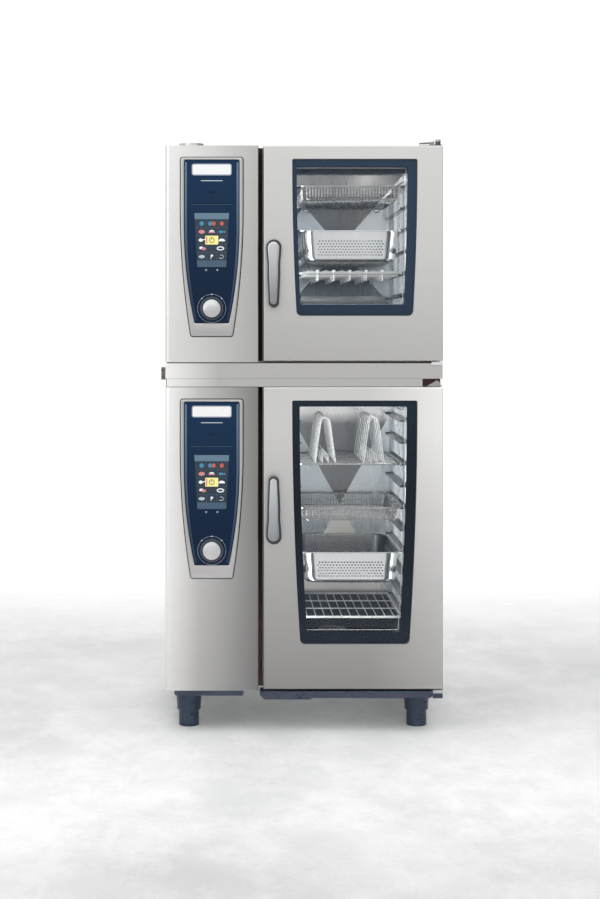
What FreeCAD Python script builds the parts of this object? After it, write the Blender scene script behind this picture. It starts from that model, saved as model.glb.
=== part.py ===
"""Stacked pair of combi steamer ovens: a six-level oven on a ten-level oven, joined by a stacking frame.

Frame: millimetres, +Z up, front faces -Y, +X to the viewer's right. The origin is on the floor, in the
middle of the cabinet's footprint. Each sub-part is written to parts/NODE.step.
"""
import FreeCAD, Part
import math
import os

from FreeCAD import Vector

# ---------------------------------------------------------------- overall sizes
WIDTH = 847.0
DEPTH = 776.0                 # rear panel to the front skin, handles and screws not counted
FOOT_H = 126.0                # floor to the lower front skins
LOWER_H = 925.0               # height of the lower front skins
RIM_H = 26.0                  # header above the lower door
STACK_H = 50.0                # stacking frame
UPPER_H = 661.0               # height of the upper front skins
SHEET = 1.5                   # stainless sheet

HALF_W = WIDTH / 2
FRONT_Y = -DEPTH / 2
BACK_Y = DEPTH / 2
LOWER_Z = FOOT_H
RIM_Z = LOWER_Z + LOWER_H
STACK_Z = RIM_Z + RIM_H
UPPER_Z = STACK_Z + STACK_H

# ---------------------------------------------------------------- front layout
COLUMN_W = 284.0              # control column on the left
DOOR_GAP = 16.0               # dark gap between the column and the door
BODY_Y = FRONT_Y + 68.0       # front edge of the cabinet body, behind door and column skins
COLUMN_X = -HALF_W + COLUMN_W
DOOR_X = COLUMN_X + DOOR_GAP
PANEL_X = -HALF_W + COLUMN_W / 2          # centre line of the control panel
CORNER_R = 12.0               # rounded left corner of the column skin

# ---------------------------------------------------------------- control panel
BEZEL_SIZES = (0.0, 545.0, 95.0, 63.0, 0.28)       # drop from the panel top, height, half widths, knee
FASCIA_SIZES = (8.0, 496.0, 83.5, 51.5, 0.40)
DISPLAY_SIZES = (168.0, 167.0, 54.5, 45.5, 0.05)
BEZEL_OUT = 7.5               # bezel ahead of the column skin
FASCIA_OUT = 6.0
DIAL_R = 28.0
DIAL_DROP = 460.0             # dial centre below the panel top
DIAL_TRAVEL = 2.0
SHAFT_R = 4.0

# ---------------------------------------------------------------- door
DOOR_LIFT = 4.0               # gap under the door
DOOR_SHELL_D = 54.0
INNER_FRAME_D = 4.0
DOOR_BACK_Y = FRONT_Y + DOOR_SHELL_D + INNER_FRAME_D
HINGE_INSET = 12.0            # hinge axis from the door's right edge
HINGE_X = HALF_W - HINGE_INSET
HINGE_Y = (FRONT_Y + DOOR_BACK_Y) / 2
HINGE_PIN_R = 6.0
BRACKET_T = 4.0
BRACKET_DROP = 9.0            # the upper door's lower bracket below its skin
UPPER_BRACKET_X0 = 389.0
HEADER_X1 = 361.0             # right end of the header, clear of the hinge
RUNNING_GAP = 0.05            # radial clearance of every pin and shaft
WINDOW_X = 154.8              # centre of the outer glass
WINDOW_HALF_TOP = 190.8
WINDOW_TOP_MARGIN = 41.0
WINDOW_BOTTOM_MARGIN = 142.0
GLASS_T = 6.0
GLASS_INSET = 1.0             # outer glass behind the skin
INNER_GLASS_T = 5.0
SPINDLE_R = 6.0
HANDLE_X = -92.8              # handle pivot
HANDLE_LEN = 168.0            # pivot to tip centre
HANDLE_OUT = 44.0             # handle front, ahead of the door skin

# ---------------------------------------------------------------- cooking cabinet
TRAY_X = 150.0                # centre line of the trays and of the cabinet mouth
TRAY_Y = -15.0
MOUTH_HALF_W = 215.0
CAVITY_X0 = -150.0            # the fan space lies left of the mouth
CAVITY_X1 = TRAY_X + MOUTH_HALF_W
CAVITY_Y1 = 280.0
REAR_DISH = 7.0               # depth of the cross-broken rear panel
MOUTH_X0 = TRAY_X - 205.0
LEVEL_PITCH = 68.0
FIRST_LEVEL = 203.0           # lowest rail above the front skins' bottom edge
TRAY_W = 325.0                # one-one gastronorm
TRAY_L = 530.0
HOOPS_PER_ROW = 7             # poultry rack
HOOP_PITCH = 70.0
INSULATION_T = 30.0
BAFFLE_X = -64.0
FAN_X = -107.0                # middle of the fan wheel
FAN_Y = -20.0
FAN_R = 130.0
MOTOR_X1 = -186.0

# ---------------------------------------------------------------- feet
FOOT_X = 353.0
FOOT_Y = 283.0
FOOT_R = 31.0
FOOT_SEEN = 50.0              # foot sleeve below its socket
SOCKET_H = 58.0
SOCKET_ROOF = 4.0
RAIL_TOP = FOOT_H - 2.0

# ---------------------------------------------------------------- exhaust, water and drain
EXHAUST_X = -355.0
EXHAUST_Y = 215.0
EXHAUST_R = 42.0
WATER_R = 13.2
WATER_LEN = 22.0
WATER_X = -260.0
DRAIN_R = 25.0
DRAIN_LEN = 45.0
DRAIN_X = -120.0

PARTS = {}


class Oven:
    """Sizes of one of the two ovens; z values are absolute."""

    def __init__(self, name, z, height, levels, cavity_low, cavity_high, window_half_bottom,
                 handle_rise, handle_way, casing_top):
        self.name = name
        self.z = z
        self.height = height
        self.levels = levels
        self.cavity_z0 = z + cavity_low
        self.cavity_z1 = z + cavity_high
        self.window_half_bottom = window_half_bottom
        self.handle_z = z + handle_rise
        self.handle_way = handle_way          # -1: the grip hangs down from its pivot, +1: stands up
        self.casing_top = casing_top

    @property
    def top(self):
        return self.z + self.height

    @property
    def cavity_mid(self):
        return (self.cavity_z0 + self.cavity_z1) / 2

    def level(self, number):
        """Top face of a tray rail; level 0 is the lowest."""
        return self.z + FIRST_LEVEL + LEVEL_PITCH * number

    @property
    def panel_top(self):
        return self.top - 37.0

    @property
    def dial_z(self):
        return self.panel_top - DIAL_DROP


UPPER = Oven("upper", UPPER_Z, UPPER_H, 6, 136.0, 626.0, 177.0, 350.0, -1, UPPER_Z + UPPER_H)
LOWER = Oven("lower", LOWER_Z, LOWER_H, 10, 120.0, 890.0, 166.0, 473.0, 1, STACK_Z)
OVENS = (UPPER, LOWER)


# ---------------------------------------------------------------- helpers
def box(x0, x1, y0, y1, z0, z1):
    return Part.makeBox(x1 - x0, y1 - y0, z1 - z0, Vector(x0, y0, z0))


def cyl_x(x0, x1, y, z, r):
    return Part.makeCylinder(r, x1 - x0, Vector(x0, y, z), Vector(1, 0, 0))


def cyl_y(x, y0, y1, z, r):
    return Part.makeCylinder(r, y1 - y0, Vector(x, y0, z), Vector(0, 1, 0))


def cyl_z(x, y, z0, z1, r):
    return Part.makeCylinder(r, z1 - z0, Vector(x, y, z0), Vector(0, 0, 1))


def rod(start, end, r):
    way = end - start
    return Part.makeCylinder(r, way.Length, start, way)


def fuse(shapes):
    joined = shapes[0].multiFuse(shapes[1:]) if len(shapes) > 1 else shapes[0]
    return joined.removeSplitter()


def group(shapes):
    """Separate solids that share one node."""
    return Part.makeCompound([solid for shape in shapes for solid in shape.Solids])


def save(name, shape):
    PARTS[name] = shape


def round_y_edges(prism, z_limits, radii):
    """Rounds the edges of a prism that run along Y: those near each z limit get that radius."""
    for z_limit, radius in zip(z_limits, radii):
        if radius <= 0:
            continue
        edges = []
        for edge in prism.Edges:
            start = edge.Vertexes[0].Point
            end = edge.Vertexes[-1].Point
            along_y = abs(start.x - end.x) + abs(start.z - end.z) < 1e-6
            if along_y and abs(start.z - z_limit) < 1e-6 and edge.Length > 0.1:
                edges.append(edge)
        prism = prism.makeFillet(radius, edges)
    return prism


def tapered_prism(cx, z0, z1, half_top, half_bottom, knee, y0, y1, r_top, r_bottom):
    """A panel outline, extruded along Y: straight sides from the top to the knee, which is a share of the
    height, then arcs that draw the sides in towards the bottom."""
    z_knee = z1 - (z1 - z0) * knee
    drop = z_knee - z0
    draw_in = half_top - half_bottom
    radius = (drop ** 2 + draw_in ** 2) / (2 * draw_in)
    half_angle = math.asin(drop / radius) / 2
    x_mid = half_top - radius + radius * math.cos(half_angle)
    z_mid = z_knee - radius * math.sin(half_angle)

    def at(side, x, z):
        return Vector(cx + side * x, y0, z)

    edges = [Part.makeLine(at(-1, half_top, z1), at(1, half_top, z1))]
    if knee > 0:
        edges.append(Part.makeLine(at(1, half_top, z1), at(1, half_top, z_knee)))
    edges.append(Part.Arc(at(1, half_top, z_knee), at(1, x_mid, z_mid), at(1, half_bottom, z0)).toShape())
    edges.append(Part.makeLine(at(1, half_bottom, z0), at(-1, half_bottom, z0)))
    edges.append(Part.Arc(at(-1, half_bottom, z0), at(-1, x_mid, z_mid), at(-1, half_top, z_knee)).toShape())
    if knee > 0:
        edges.append(Part.makeLine(at(-1, half_top, z_knee), at(-1, half_top, z1)))
    prism = Part.Face(Part.Wire(edges)).extrude(Vector(0, y1 - y0, 0))
    return round_y_edges(prism, (z1, z0), (r_top, r_bottom))


def rounded_rectangle(cx, cy, z, width, length, radius):
    """Wire of a rounded rectangle in a level plane."""
    hx = width / 2
    hy = length / 2
    points = []
    for sx, sy in ((1, -1), (1, 1), (-1, 1), (-1, -1)):
        corner = Vector(cx + sx * (hx - radius), cy + sy * (hy - radius), z)
        points.append((corner, sx, sy))
    edges = []
    diagonal = radius * math.sqrt(0.5)
    for index, (corner, sx, sy) in enumerate(points):
        along_x = Vector(sx * radius, 0, 0)
        along_y = Vector(0, sy * radius, 0)
        first, last = (along_y, along_x) if sx * sy < 0 else (along_x, along_y)
        middle = corner + Vector(sx * diagonal, sy * diagonal, 0)
        edges.append(Part.Arc(corner + first, middle, corner + last).toShape())
        next_corner, next_sx, next_sy = points[(index + 1) % 4]
        if next_sx * next_sy < 0:
            next_first = Vector(0, next_sy * radius, 0)
        else:
            next_first = Vector(next_sx * radius, 0, 0)
        edges.append(Part.makeLine(corner + last, next_corner + next_first))
    return Part.Wire(edges)


def rounded_pan(z_top, z_bottom, width, length, radius, rounding):
    """Solid of a pan body with rounded corners and a rounded bottom edge."""
    outline = Part.Face(rounded_rectangle(TRAY_X, TRAY_Y, z_bottom, width, length, radius))
    body = outline.extrude(Vector(0, 0, z_top - z_bottom))
    bottom = [edge for edge in body.Edges if edge.BoundBox.ZMax < z_bottom + 1e-6]
    return body.makeFillet(rounding, bottom)


# ---------------------------------------------------------------- cabinet shells
def casing(oven):
    """Folded outer wrap: both sides and the top. The upper one is pierced for the exhaust."""
    bottom = oven.z + 2.0
    outer = box(-HALF_W, HALF_W, BODY_Y + 0.5, BACK_Y - SHEET, bottom, oven.casing_top)
    top_edges = []
    for edge in outer.Edges:
        ends = [vertex.Point for vertex in edge.Vertexes]
        if all(abs(p.z - oven.casing_top) < 1e-6 for p in ends) and abs(ends[0].x - ends[1].x) < 1e-6:
            top_edges.append(edge)
    outer = outer.makeFillet(3.0, top_edges)
    inner = box(-HALF_W + SHEET, HALF_W - SHEET, BODY_Y - 1, BACK_Y + 1, bottom - 1, oven.casing_top - SHEET)
    shell = outer.cut(inner)
    if oven is UPPER:
        top = oven.casing_top
        shell = shell.cut(cyl_z(EXHAUST_X, EXHAUST_Y, top - 5, top + 5, EXHAUST_R - 3))
    return shell


def column_front(oven):
    """Pan-shaped skin of the control column: front, four returns, and the hole for the control panel."""

    def profile(inset, z0, z1):
        left = -HALF_W + inset
        right = COLUMN_X - inset
        front = FRONT_Y + inset
        radius = CORNER_R - inset
        small = 2.5 - inset
        bulge = 1 - math.sqrt(0.5)
        p = [Vector(left, BODY_Y, z0), Vector(left, front + radius, z0), Vector(left + radius, front, z0),
             Vector(right - small, front, z0), Vector(right, front + small, z0), Vector(right, BODY_Y, z0)]
        left_mid = Vector(left + radius * bulge, front + radius * bulge, z0)
        right_mid = Vector(right - small * bulge, front + small * bulge, z0)
        edges = [
            Part.makeLine(p[0], p[1]),
            Part.Arc(p[1], left_mid, p[2]).toShape(),
            Part.makeLine(p[2], p[3]),
            Part.Arc(p[3], right_mid, p[4]).toShape(),
            Part.makeLine(p[4], p[5]),
            Part.makeLine(p[5], p[0]),
        ]
        return Part.Face(Part.Wire(edges)).extrude(Vector(0, 0, z1 - z0))

    pan = profile(0.0, oven.z, oven.top).cut(profile(SHEET, oven.z + SHEET, oven.top - SHEET))
    hole = control_outline(oven, FASCIA_SIZES, 1.0, FRONT_Y - 1, FRONT_Y + 3, 6.0)
    return pan.cut(hole)


def rear_panel(oven):
    panel = box(-HALF_W, HALF_W, BACK_Y - SHEET, BACK_Y, oven.z + 2, oven.casing_top)
    slots = []
    slot_w = 90.0
    for column in range(2):
        for row in range(9):
            x = -330 + column * 115.0
            z = oven.z + 360 + row * 14.0
            slots.append(box(x, x + slot_w, BACK_Y - 5, BACK_Y + 5, z, z + 5))
    return panel.cut(Part.makeCompound(slots))


def base_pan(oven):
    return box(-HALF_W + SHEET, HALF_W - SHEET, BODY_Y + SHEET, BACK_Y - SHEET, oven.z, oven.z + 2)


def header():
    """Front rail above the lower door, cut short on the right to clear the hinge."""
    x0 = -HALF_W + 5
    front = FRONT_Y + 2.0
    low = RIM_Z + 1
    rail = box(x0, HEADER_X1, front, BODY_Y, low, STACK_Z)
    hollow = box(x0 + SHEET, HEADER_X1 - SHEET, front + SHEET, BODY_Y + 1, low + SHEET, STACK_Z - SHEET)
    return rail.cut(hollow)


def stack_frame():
    """Closed sheet ring that carries the upper oven, notched for its lower hinge bracket."""
    half = HALF_W - 1
    front = FRONT_Y + 1.0
    back = BACK_Y - 6
    side_w = 40.0
    front_w = 60.0

    def block(inset, z0, z1):
        return box(-half + inset, half - inset, front + inset, back - inset, z0, z1)

    def opening(grow, z0, z1):
        x = half - side_w + grow
        return box(-x, x, front + front_w - grow, back - side_w + grow, z0, z1)

    tube = block(0.0, STACK_Z, UPPER_Z).cut(opening(0.0, STACK_Z - 1, UPPER_Z + 1))
    core = block(SHEET, STACK_Z + SHEET, UPPER_Z - SHEET).cut(opening(SHEET, STACK_Z, UPPER_Z))
    ring = tube.cut(core)
    step = UPPER_Z - 3.0
    step_plate = box(COLUMN_X, half, front, BODY_Y - 8, step - SHEET, step)
    gap_under_door = box(COLUMN_X, HALF_W, front - 1, BODY_Y - 8, step, UPPER_Z + 1)
    notch_low = UPPER_Z - BRACKET_DROP - 0.5
    notch = box(UPPER_BRACKET_X0 - 0.5, HALF_W, front - 1, BODY_Y + 20, notch_low, UPPER_Z + 1)
    return fuse([ring.cut(gap_under_door), step_plate]).cut(notch)


def side_clamp():
    """Folded clamp on the left that ties the lower casing to the stacking frame."""
    x_out = -HALF_W - 13.0
    low = STACK_Z - 5.0
    high = STACK_Z + 33.0
    body = box(x_out, -HALF_W, BODY_Y + 10, BODY_Y + 60, low, high)
    relief = box(x_out + 3, -HALF_W + 1, BODY_Y + 9, BODY_Y + 61, low + 10, high - 10)
    clamp = body.cut(relief)
    for y in (BODY_Y + 23, BODY_Y + 47):
        clamp = clamp.fuse(cyl_x(x_out - 2, x_out, y, (low + high) / 2, 6.0))
    return clamp.removeSplitter()


# ---------------------------------------------------------------- control panel
def control_outline(oven, sizes, grow, y0, y1, radius):
    drop, height, half_top, half_bottom, knee = sizes
    z1 = oven.panel_top - drop + grow
    z0 = oven.panel_top - drop - height - grow
    return tapered_prism(PANEL_X, z0, z1, half_top + grow, half_bottom + grow, knee, y0, y1, radius, radius)


def control_bezel(oven):
    outer = control_outline(oven, BEZEL_SIZES, 0.0, FRONT_Y - BEZEL_OUT, FRONT_Y, 7.0)
    rim = [edge for edge in outer.Edges
           if all(abs(v.Point.y - (FRONT_Y - BEZEL_OUT)) < 1e-6 for v in edge.Vertexes)]
    outer = outer.makeChamfer(2.5, rim)
    hole = control_outline(oven, FASCIA_SIZES, 0.3, FRONT_Y - BEZEL_OUT - 1, FRONT_Y + 1, 5.3)
    return outer.cut(hole)


def control_fascia(oven):
    """Dark panel with a seam across it, a window for the screen and a raised ring round the dial."""
    front = FRONT_Y - FASCIA_OUT
    panel = control_outline(oven, FASCIA_SIZES, 0.0, front, FRONT_Y + 2.0, 5.0)
    seam_z = oven.panel_top - 142.0
    panel = panel.cut(box(PANEL_X - 62, PANEL_X + 62, front - 1, front + 0.8, seam_z - 0.6, seam_z + 0.6))
    panel = panel.cut(control_outline(oven, DISPLAY_SIZES, 0.3, front - 1, FRONT_Y + 5, 2.3))
    ring = cyl_y(PANEL_X, front - 2.2, front + 0.5, oven.dial_z, 36.0)
    ring = ring.cut(cyl_y(PANEL_X, front - 3, front + 1, oven.dial_z, DIAL_R + 1.5))
    panel = panel.fuse(ring)
    panel = panel.cut(cyl_y(PANEL_X, front - 5, FRONT_Y + 5, oven.dial_z, SHAFT_R + 1.0))
    speaker = [cyl_y(PANEL_X + dx, front - 1, front + 1.5, oven.panel_top - 106, 1.6) for dx in (-8, 0, 8)]
    return panel.cut(Part.makeCompound(speaker)).removeSplitter()


def display(oven):
    front = FRONT_Y - FASCIA_OUT - 0.3
    return control_outline(oven, DISPLAY_SIZES, 0.0, front, front + 3.3, 2.0)


def dial_knob(oven):
    """Domed push-and-turn knob with its shaft."""
    back = FRONT_Y - FASCIA_OUT - DIAL_TRAVEL - 0.8
    front = back - 17.0
    dome_r = 75.0
    knob = cyl_y(PANEL_X, front - 1, back, oven.dial_z, DIAL_R)
    knob = knob.common(Part.makeSphere(dome_r, Vector(PANEL_X, front + dome_r, oven.dial_z)))
    rim = [edge for edge in knob.Edges if edge.Closed and edge.BoundBox.YMax < back - 2]
    knob = knob.makeFillet(4.0, rim)
    shaft = cyl_y(PANEL_X, back - 1, FRONT_Y + 14.0, oven.dial_z, SHAFT_R)
    return knob.fuse(shaft).removeSplitter()


def dial_plunger(oven):
    """Sleeve of the push switch, in which the dial shaft turns."""
    y0 = FRONT_Y + 4.5
    sleeve = cyl_y(PANEL_X, y0, y0 + 9.0, oven.dial_z, 8.0)
    return sleeve.cut(cyl_y(PANEL_X, y0 - 1, y0 + 10, oven.dial_z, SHAFT_R + RUNNING_GAP))


def control_board(oven):
    """Circuit board on two rails inside the column, with its larger components."""
    y = FRONT_Y + 22.0
    z0 = oven.panel_top - 500.0
    back = y + 1.6
    pieces = [box(PANEL_X - 52, PANEL_X + 52, y, back, z0, z0 + 330)]
    for dx, dz, w, h, depth in ((-30, 230, 44, 44, 9), (22, 220, 30, 60, 14), (-28, 130, 36, 22, 18),
                                (20, 110, 26, 26, 12), (0, 30, 70, 18, 16)):
        x = PANEL_X + dx - w / 2
        pieces.append(box(x, x + w, back, back + depth, z0 + dz, z0 + dz + h))
    for side in (-1, 1):
        x = PANEL_X + side * 60
        pieces.append(box(min(x, x - side * 14), max(x, x - side * 14), back, y + 40, z0 + 4, z0 + 326))
    return fuse(pieces)


# ---------------------------------------------------------------- door
def window_prism(oven, grow, y0, y1):
    z0 = oven.z + WINDOW_BOTTOM_MARGIN - grow
    z1 = oven.top - WINDOW_TOP_MARGIN + grow
    return tapered_prism(WINDOW_X, z0, z1, WINDOW_HALF_TOP + grow, oven.window_half_bottom + grow, 0.0,
                         y0, y1, 5.0 + grow, 15.0 + grow)


def door_skin(z0, z1, inset, y1):
    """Block with small bends along its front edges."""
    block = box(DOOR_X + inset, HALF_W - inset, FRONT_Y + inset, y1, z0 + inset, z1 - inset)
    front = [edge for edge in block.Edges
             if all(abs(v.Point.y - (FRONT_Y + inset)) < 1e-6 for v in edge.Vertexes)]
    return block.makeFillet(3.0 - inset, front)


def door_shell(oven):
    """Outer pan of the door: skin, four returns, rebate for the glass, and blocks for the hinge pins."""
    z0 = oven.z + DOOR_LIFT
    z1 = oven.top
    y1 = FRONT_Y + DOOR_SHELL_D
    shell = door_skin(z0, z1, 0.0, y1).cut(door_skin(z0, z1, SHEET, y1 + 10))
    glass_back = FRONT_Y + GLASS_INSET + GLASS_T
    rebate = window_prism(oven, 2.0, FRONT_Y + SHEET / 2, glass_back + SHEET)
    pieces = [shell, rebate]
    for low, high in ((z0 + SHEET / 2, z0 + 26), (z1 - 26, z1 - SHEET / 2)):
        pieces.append(box(HINGE_X - 14, HALF_W - SHEET / 2, HINGE_Y - 15, HINGE_Y + 15, low, high))
    shell = fuse(pieces)
    shell = shell.cut(window_prism(oven, 0.4, FRONT_Y - 1, glass_back))
    shell = shell.cut(window_prism(oven, -9.0, FRONT_Y - 1, glass_back + 5))
    for low, high in ((z0 - 1, z0 + 22), (z1 - 22, z1 + 1)):
        shell = shell.cut(cyl_z(HINGE_X, HINGE_Y, low, high, HINGE_PIN_R + RUNNING_GAP))
    return shell.cut(cyl_y(HANDLE_X, FRONT_Y - 1, FRONT_Y + 5, oven.handle_z, SPINDLE_R + RUNNING_GAP))


def door_outer_glass(oven):
    return window_prism(oven, 0.0, FRONT_Y + GLASS_INSET, FRONT_Y + GLASS_INSET + GLASS_T)


def door_inner_frame(oven):
    """Flat ring that closes the back of the door round the inner glass."""
    y0 = FRONT_Y + DOOR_SHELL_D
    z0 = oven.z + DOOR_LIFT
    ring = box(DOOR_X + 1, HALF_W - 1, y0, y0 + INNER_FRAME_D, z0 + 1, oven.top - 1)
    hole = box(TRAY_X - 217, TRAY_X + 217, y0 - 1, y0 + 10, oven.cavity_z0 - 7, oven.cavity_z1 + 7)
    ring = ring.cut(round_y_edges(hole, (hole.BoundBox.ZMax, hole.BoundBox.ZMin), (12.0, 12.0)))
    return ring.cut(cyl_y(HANDLE_X, y0 - 1, y0 + 10, oven.handle_z, SPINDLE_R + RUNNING_GAP))


def door_inner_glass(oven):
    y1 = FRONT_Y + DOOR_SHELL_D
    low = oven.cavity_z0 - 15
    high = oven.cavity_z1 + 15
    glass = box(HANDLE_X + 16, TRAY_X + 225, y1 - INNER_GLASS_T, y1, low, high)
    return round_y_edges(glass, (high, low), (14.0, 14.0))


def handle_lever(oven):
    """Lever that turns on the door: round boss at the pivot, grip standing clear of the skin."""
    front = FRONT_Y - HANDLE_OUT
    grip_back = front + 22.0
    r_pivot = 23.0
    r_tip = 15.5
    way = oven.handle_way
    lean = math.asin((r_pivot - r_tip) / HANDLE_LEN)
    tip_z = oven.handle_z + way * HANDLE_LEN

    def at(side, radius, centre_z):
        out = side * radius * math.cos(lean)
        up = way * radius * math.sin(lean)
        return Vector(HANDLE_X + out, front, centre_z + up)

    round_end = Vector(HANDLE_X, front, oven.handle_z - way * r_pivot)
    tip_end = Vector(HANDLE_X, front, tip_z + way * r_tip)
    outline = Part.Wire([
        Part.Arc(at(-1, r_pivot, oven.handle_z), round_end, at(1, r_pivot, oven.handle_z)).toShape(),
        Part.makeLine(at(1, r_pivot, oven.handle_z), at(1, r_tip, tip_z)),
        Part.Arc(at(1, r_tip, tip_z), tip_end, at(-1, r_tip, tip_z)).toShape(),
        Part.makeLine(at(-1, r_tip, tip_z), at(-1, r_pivot, oven.handle_z))])
    grip = Part.Face(outline).extrude(Vector(0, grip_back - front, 0))
    rim = [edge for edge in grip.Edges if all(abs(v.Point.y - front) < 1e-6 for v in edge.Vertexes)]
    grip = grip.makeFillet(5.0, rim)
    boss = cyl_y(HANDLE_X, grip_back - 1, FRONT_Y - 0.4, oven.handle_z, 17.0)
    return grip.fuse(boss).removeSplitter()


def latch_spindle(oven):
    """Shaft through the door with the latch blade on its inner end."""
    z = oven.handle_z
    shaft = cyl_y(HANDLE_X, FRONT_Y - 0.4, DOOR_BACK_Y + 4.0, z, SPINDLE_R)
    blade = box(HANDLE_X - 6, HANDLE_X + 6, DOOR_BACK_Y + 0.5, DOOR_BACK_Y + 3.5, z - 17, z + 17)
    return shaft.fuse(blade).removeSplitter()


def latch_keeper(oven):
    """Plate on the cabinet front with two posts that straddle the latch blade."""
    z = oven.handle_z
    pieces = [box(HANDLE_X - 13, HANDLE_X + 13, BODY_Y - 2, BODY_Y, z - 30, z + 30)]
    for low in (z - 28, z + 20):
        pieces.append(box(HANDLE_X - 9, HANDLE_X + 9, BODY_Y - 7, BODY_Y - 2, low, low + 8))
    return fuse(pieces)


# ---------------------------------------------------------------- hinges
def hinge_pin(z_from, z_to):
    return cyl_z(HINGE_X, HINGE_Y, min(z_from, z_to), max(z_from, z_to), HINGE_PIN_R)


def top_bracket(oven, x0):
    """Arm from the cabinet over the door, with a pin down into it and a round head above."""
    z = oven.top
    arm = box(x0, HALF_W - 2, HINGE_Y - 11, BODY_Y + 0.5, z + 1, z + 1 + BRACKET_T)
    nose = cyl_z(HINGE_X - 2, HINGE_Y, z + 1, z + 1 + BRACKET_T, 11.0)
    arm = arm.cut(box(x0, HINGE_X - 26, HINGE_Y - 12, HINGE_Y + 10, z, z + 10))
    head = cyl_z(HINGE_X, HINGE_Y, z + 1, z + 14, 8.0)
    return [arm, nose, head, hinge_pin(z - 18, z + 2)]


def upper_oven_brackets():
    foot = box(355, 419, BODY_Y + 0.5, BODY_Y + 45, UPPER.top, UPPER.top + 1 + BRACKET_T)
    top = fuse(top_bracket(UPPER, 355.0) + [foot])
    z = UPPER.z
    low = z - BRACKET_DROP
    plate = box(UPPER_BRACKET_X0, HALF_W - 0.5, FRONT_Y + 6, BODY_Y + 19, low, low + 6)
    rise = box(UPPER_BRACKET_X0, HALF_W - 0.5, FRONT_Y + 6, BODY_Y - 11, low + 5, z + 1)
    bottom = fuse([plate, rise, hinge_pin(z - 2, z + 20)])
    return [top, bottom]


def lower_oven_brackets():
    z = LOWER.top
    arm, nose, _, pin = top_bracket(LOWER, 364.0)
    back = box(364, 419, BODY_Y - 4, BODY_Y, z + 1, STACK_Z - 1)
    head = cyl_z(HINGE_X, HINGE_Y, z + 1, z + 13, 8.0)
    top = fuse([arm, nose, back, head, pin])
    top = top.cut(box(300, 430, BODY_Y, BODY_Y + 5, z, z + 30))
    z = LOWER.z
    plate = box(393, HALF_W - 0.5, FRONT_Y + 3, BODY_Y + 26, z - 24, z - 18)
    front = box(393, HALF_W - 0.5, FRONT_Y + 3, BODY_Y, z - 19, z + 1)
    bottom = fuse([plate, front, hinge_pin(z - 2, z + 20)])
    return [top, bottom]


# ---------------------------------------------------------------- cooking cabinet
def cavity(oven):
    """Welded liner: the box, with a fan space on the left, and the front flange round the mouth."""
    z0 = oven.cavity_z0
    z1 = oven.cavity_z1
    t = SHEET
    outer = box(CAVITY_X0 - t, CAVITY_X1 + t, BODY_Y, CAVITY_Y1 + t, z0 - t, z1 + t)
    edge = t + 0.2
    flange = box(COLUMN_X + 0.5, HALF_W - edge, BODY_Y, BODY_Y + t, oven.z + 2.5, oven.top - edge)
    inner = box(CAVITY_X0, CAVITY_X1, BODY_Y + t, CAVITY_Y1, z0, z1)
    mouth = box(MOUTH_X0, CAVITY_X1, BODY_Y - 1, BODY_Y + t + 1, z0, z1)
    shaft_hole = cyl_x(CAVITY_X0 - 5, CAVITY_X0 + 5, FAN_Y, oven.cavity_mid, 12.0)
    return fuse([outer, flange]).cut(inner).cut(mouth).cut(shaft_hole)


def dished_rear_panel(oven):
    """Cross-broken panel on the rear wall: four facets that fall back towards the middle."""
    y0 = CAVITY_Y1 - REAR_DISH
    x0 = MOUTH_X0 + 6
    x1 = CAVITY_X1 - 6
    z0 = oven.cavity_z0 + 6
    z1 = oven.cavity_z1 - 6
    deepest = Vector(TRAY_X - 4, CAVITY_Y1 - 0.5, oven.cavity_mid)
    corners = [Vector(x0, y0, z0), Vector(x1, y0, z0), Vector(x1, y0, z1), Vector(x0, y0, z1)]
    faces = [Part.Face(Part.makePolygon(corners + [corners[0]]))]
    for index in range(4):
        a = corners[index]
        b = corners[(index + 1) % 4]
        faces.append(Part.Face(Part.makePolygon([a, b, deepest, a])))
    dish = Part.makeSolid(Part.makeShell(faces))
    if dish.Volume < 0:
        dish.reverse()
    return box(x0, x1, y0, CAVITY_Y1, z0, z1).cut(dish)


def insulation_jacket(oven):
    gap = SHEET + 0.2

    def block(grow, front):
        return box(CAVITY_X0 - grow, CAVITY_X1 + grow, front, CAVITY_Y1 + grow,
                   oven.cavity_z0 - grow, oven.cavity_z1 + grow)

    jacket = block(gap + INSULATION_T, BODY_Y + 3).cut(block(gap, BODY_Y + 2))
    return jacket.cut(cyl_x(CAVITY_X0 - 60, CAVITY_X0, FAN_Y, oven.cavity_mid, 16.0))


def door_seal(oven):
    """Rubber ring on the cabinet front: a foot with a rounded lip."""

    def ring(grow_out, grow_in, y0, y1):
        out = box(TRAY_X - 228 - grow_out, TRAY_X + 228 + grow_out, y0, y1,
                  oven.cavity_z0 - 29 - grow_out, oven.cavity_z1 + 29 + grow_out)
        out = round_y_edges(out, (out.BoundBox.ZMax, out.BoundBox.ZMin), (20.0, 20.0))
        hole = box(TRAY_X - 216 + grow_in, TRAY_X + 216 - grow_in, y0 - 1, y1 + 1,
                   oven.cavity_z0 - 17 + grow_in, oven.cavity_z1 + 17 - grow_in)
        hole = round_y_edges(hole, (hole.BoundBox.ZMax, hole.BoundBox.ZMin), (10.0, 10.0))
        return out.cut(hole)

    return fuse([ring(0, 0, BODY_Y - 5, BODY_Y), ring(-3, -3, BODY_Y - 9.9, BODY_Y - 5)])


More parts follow.
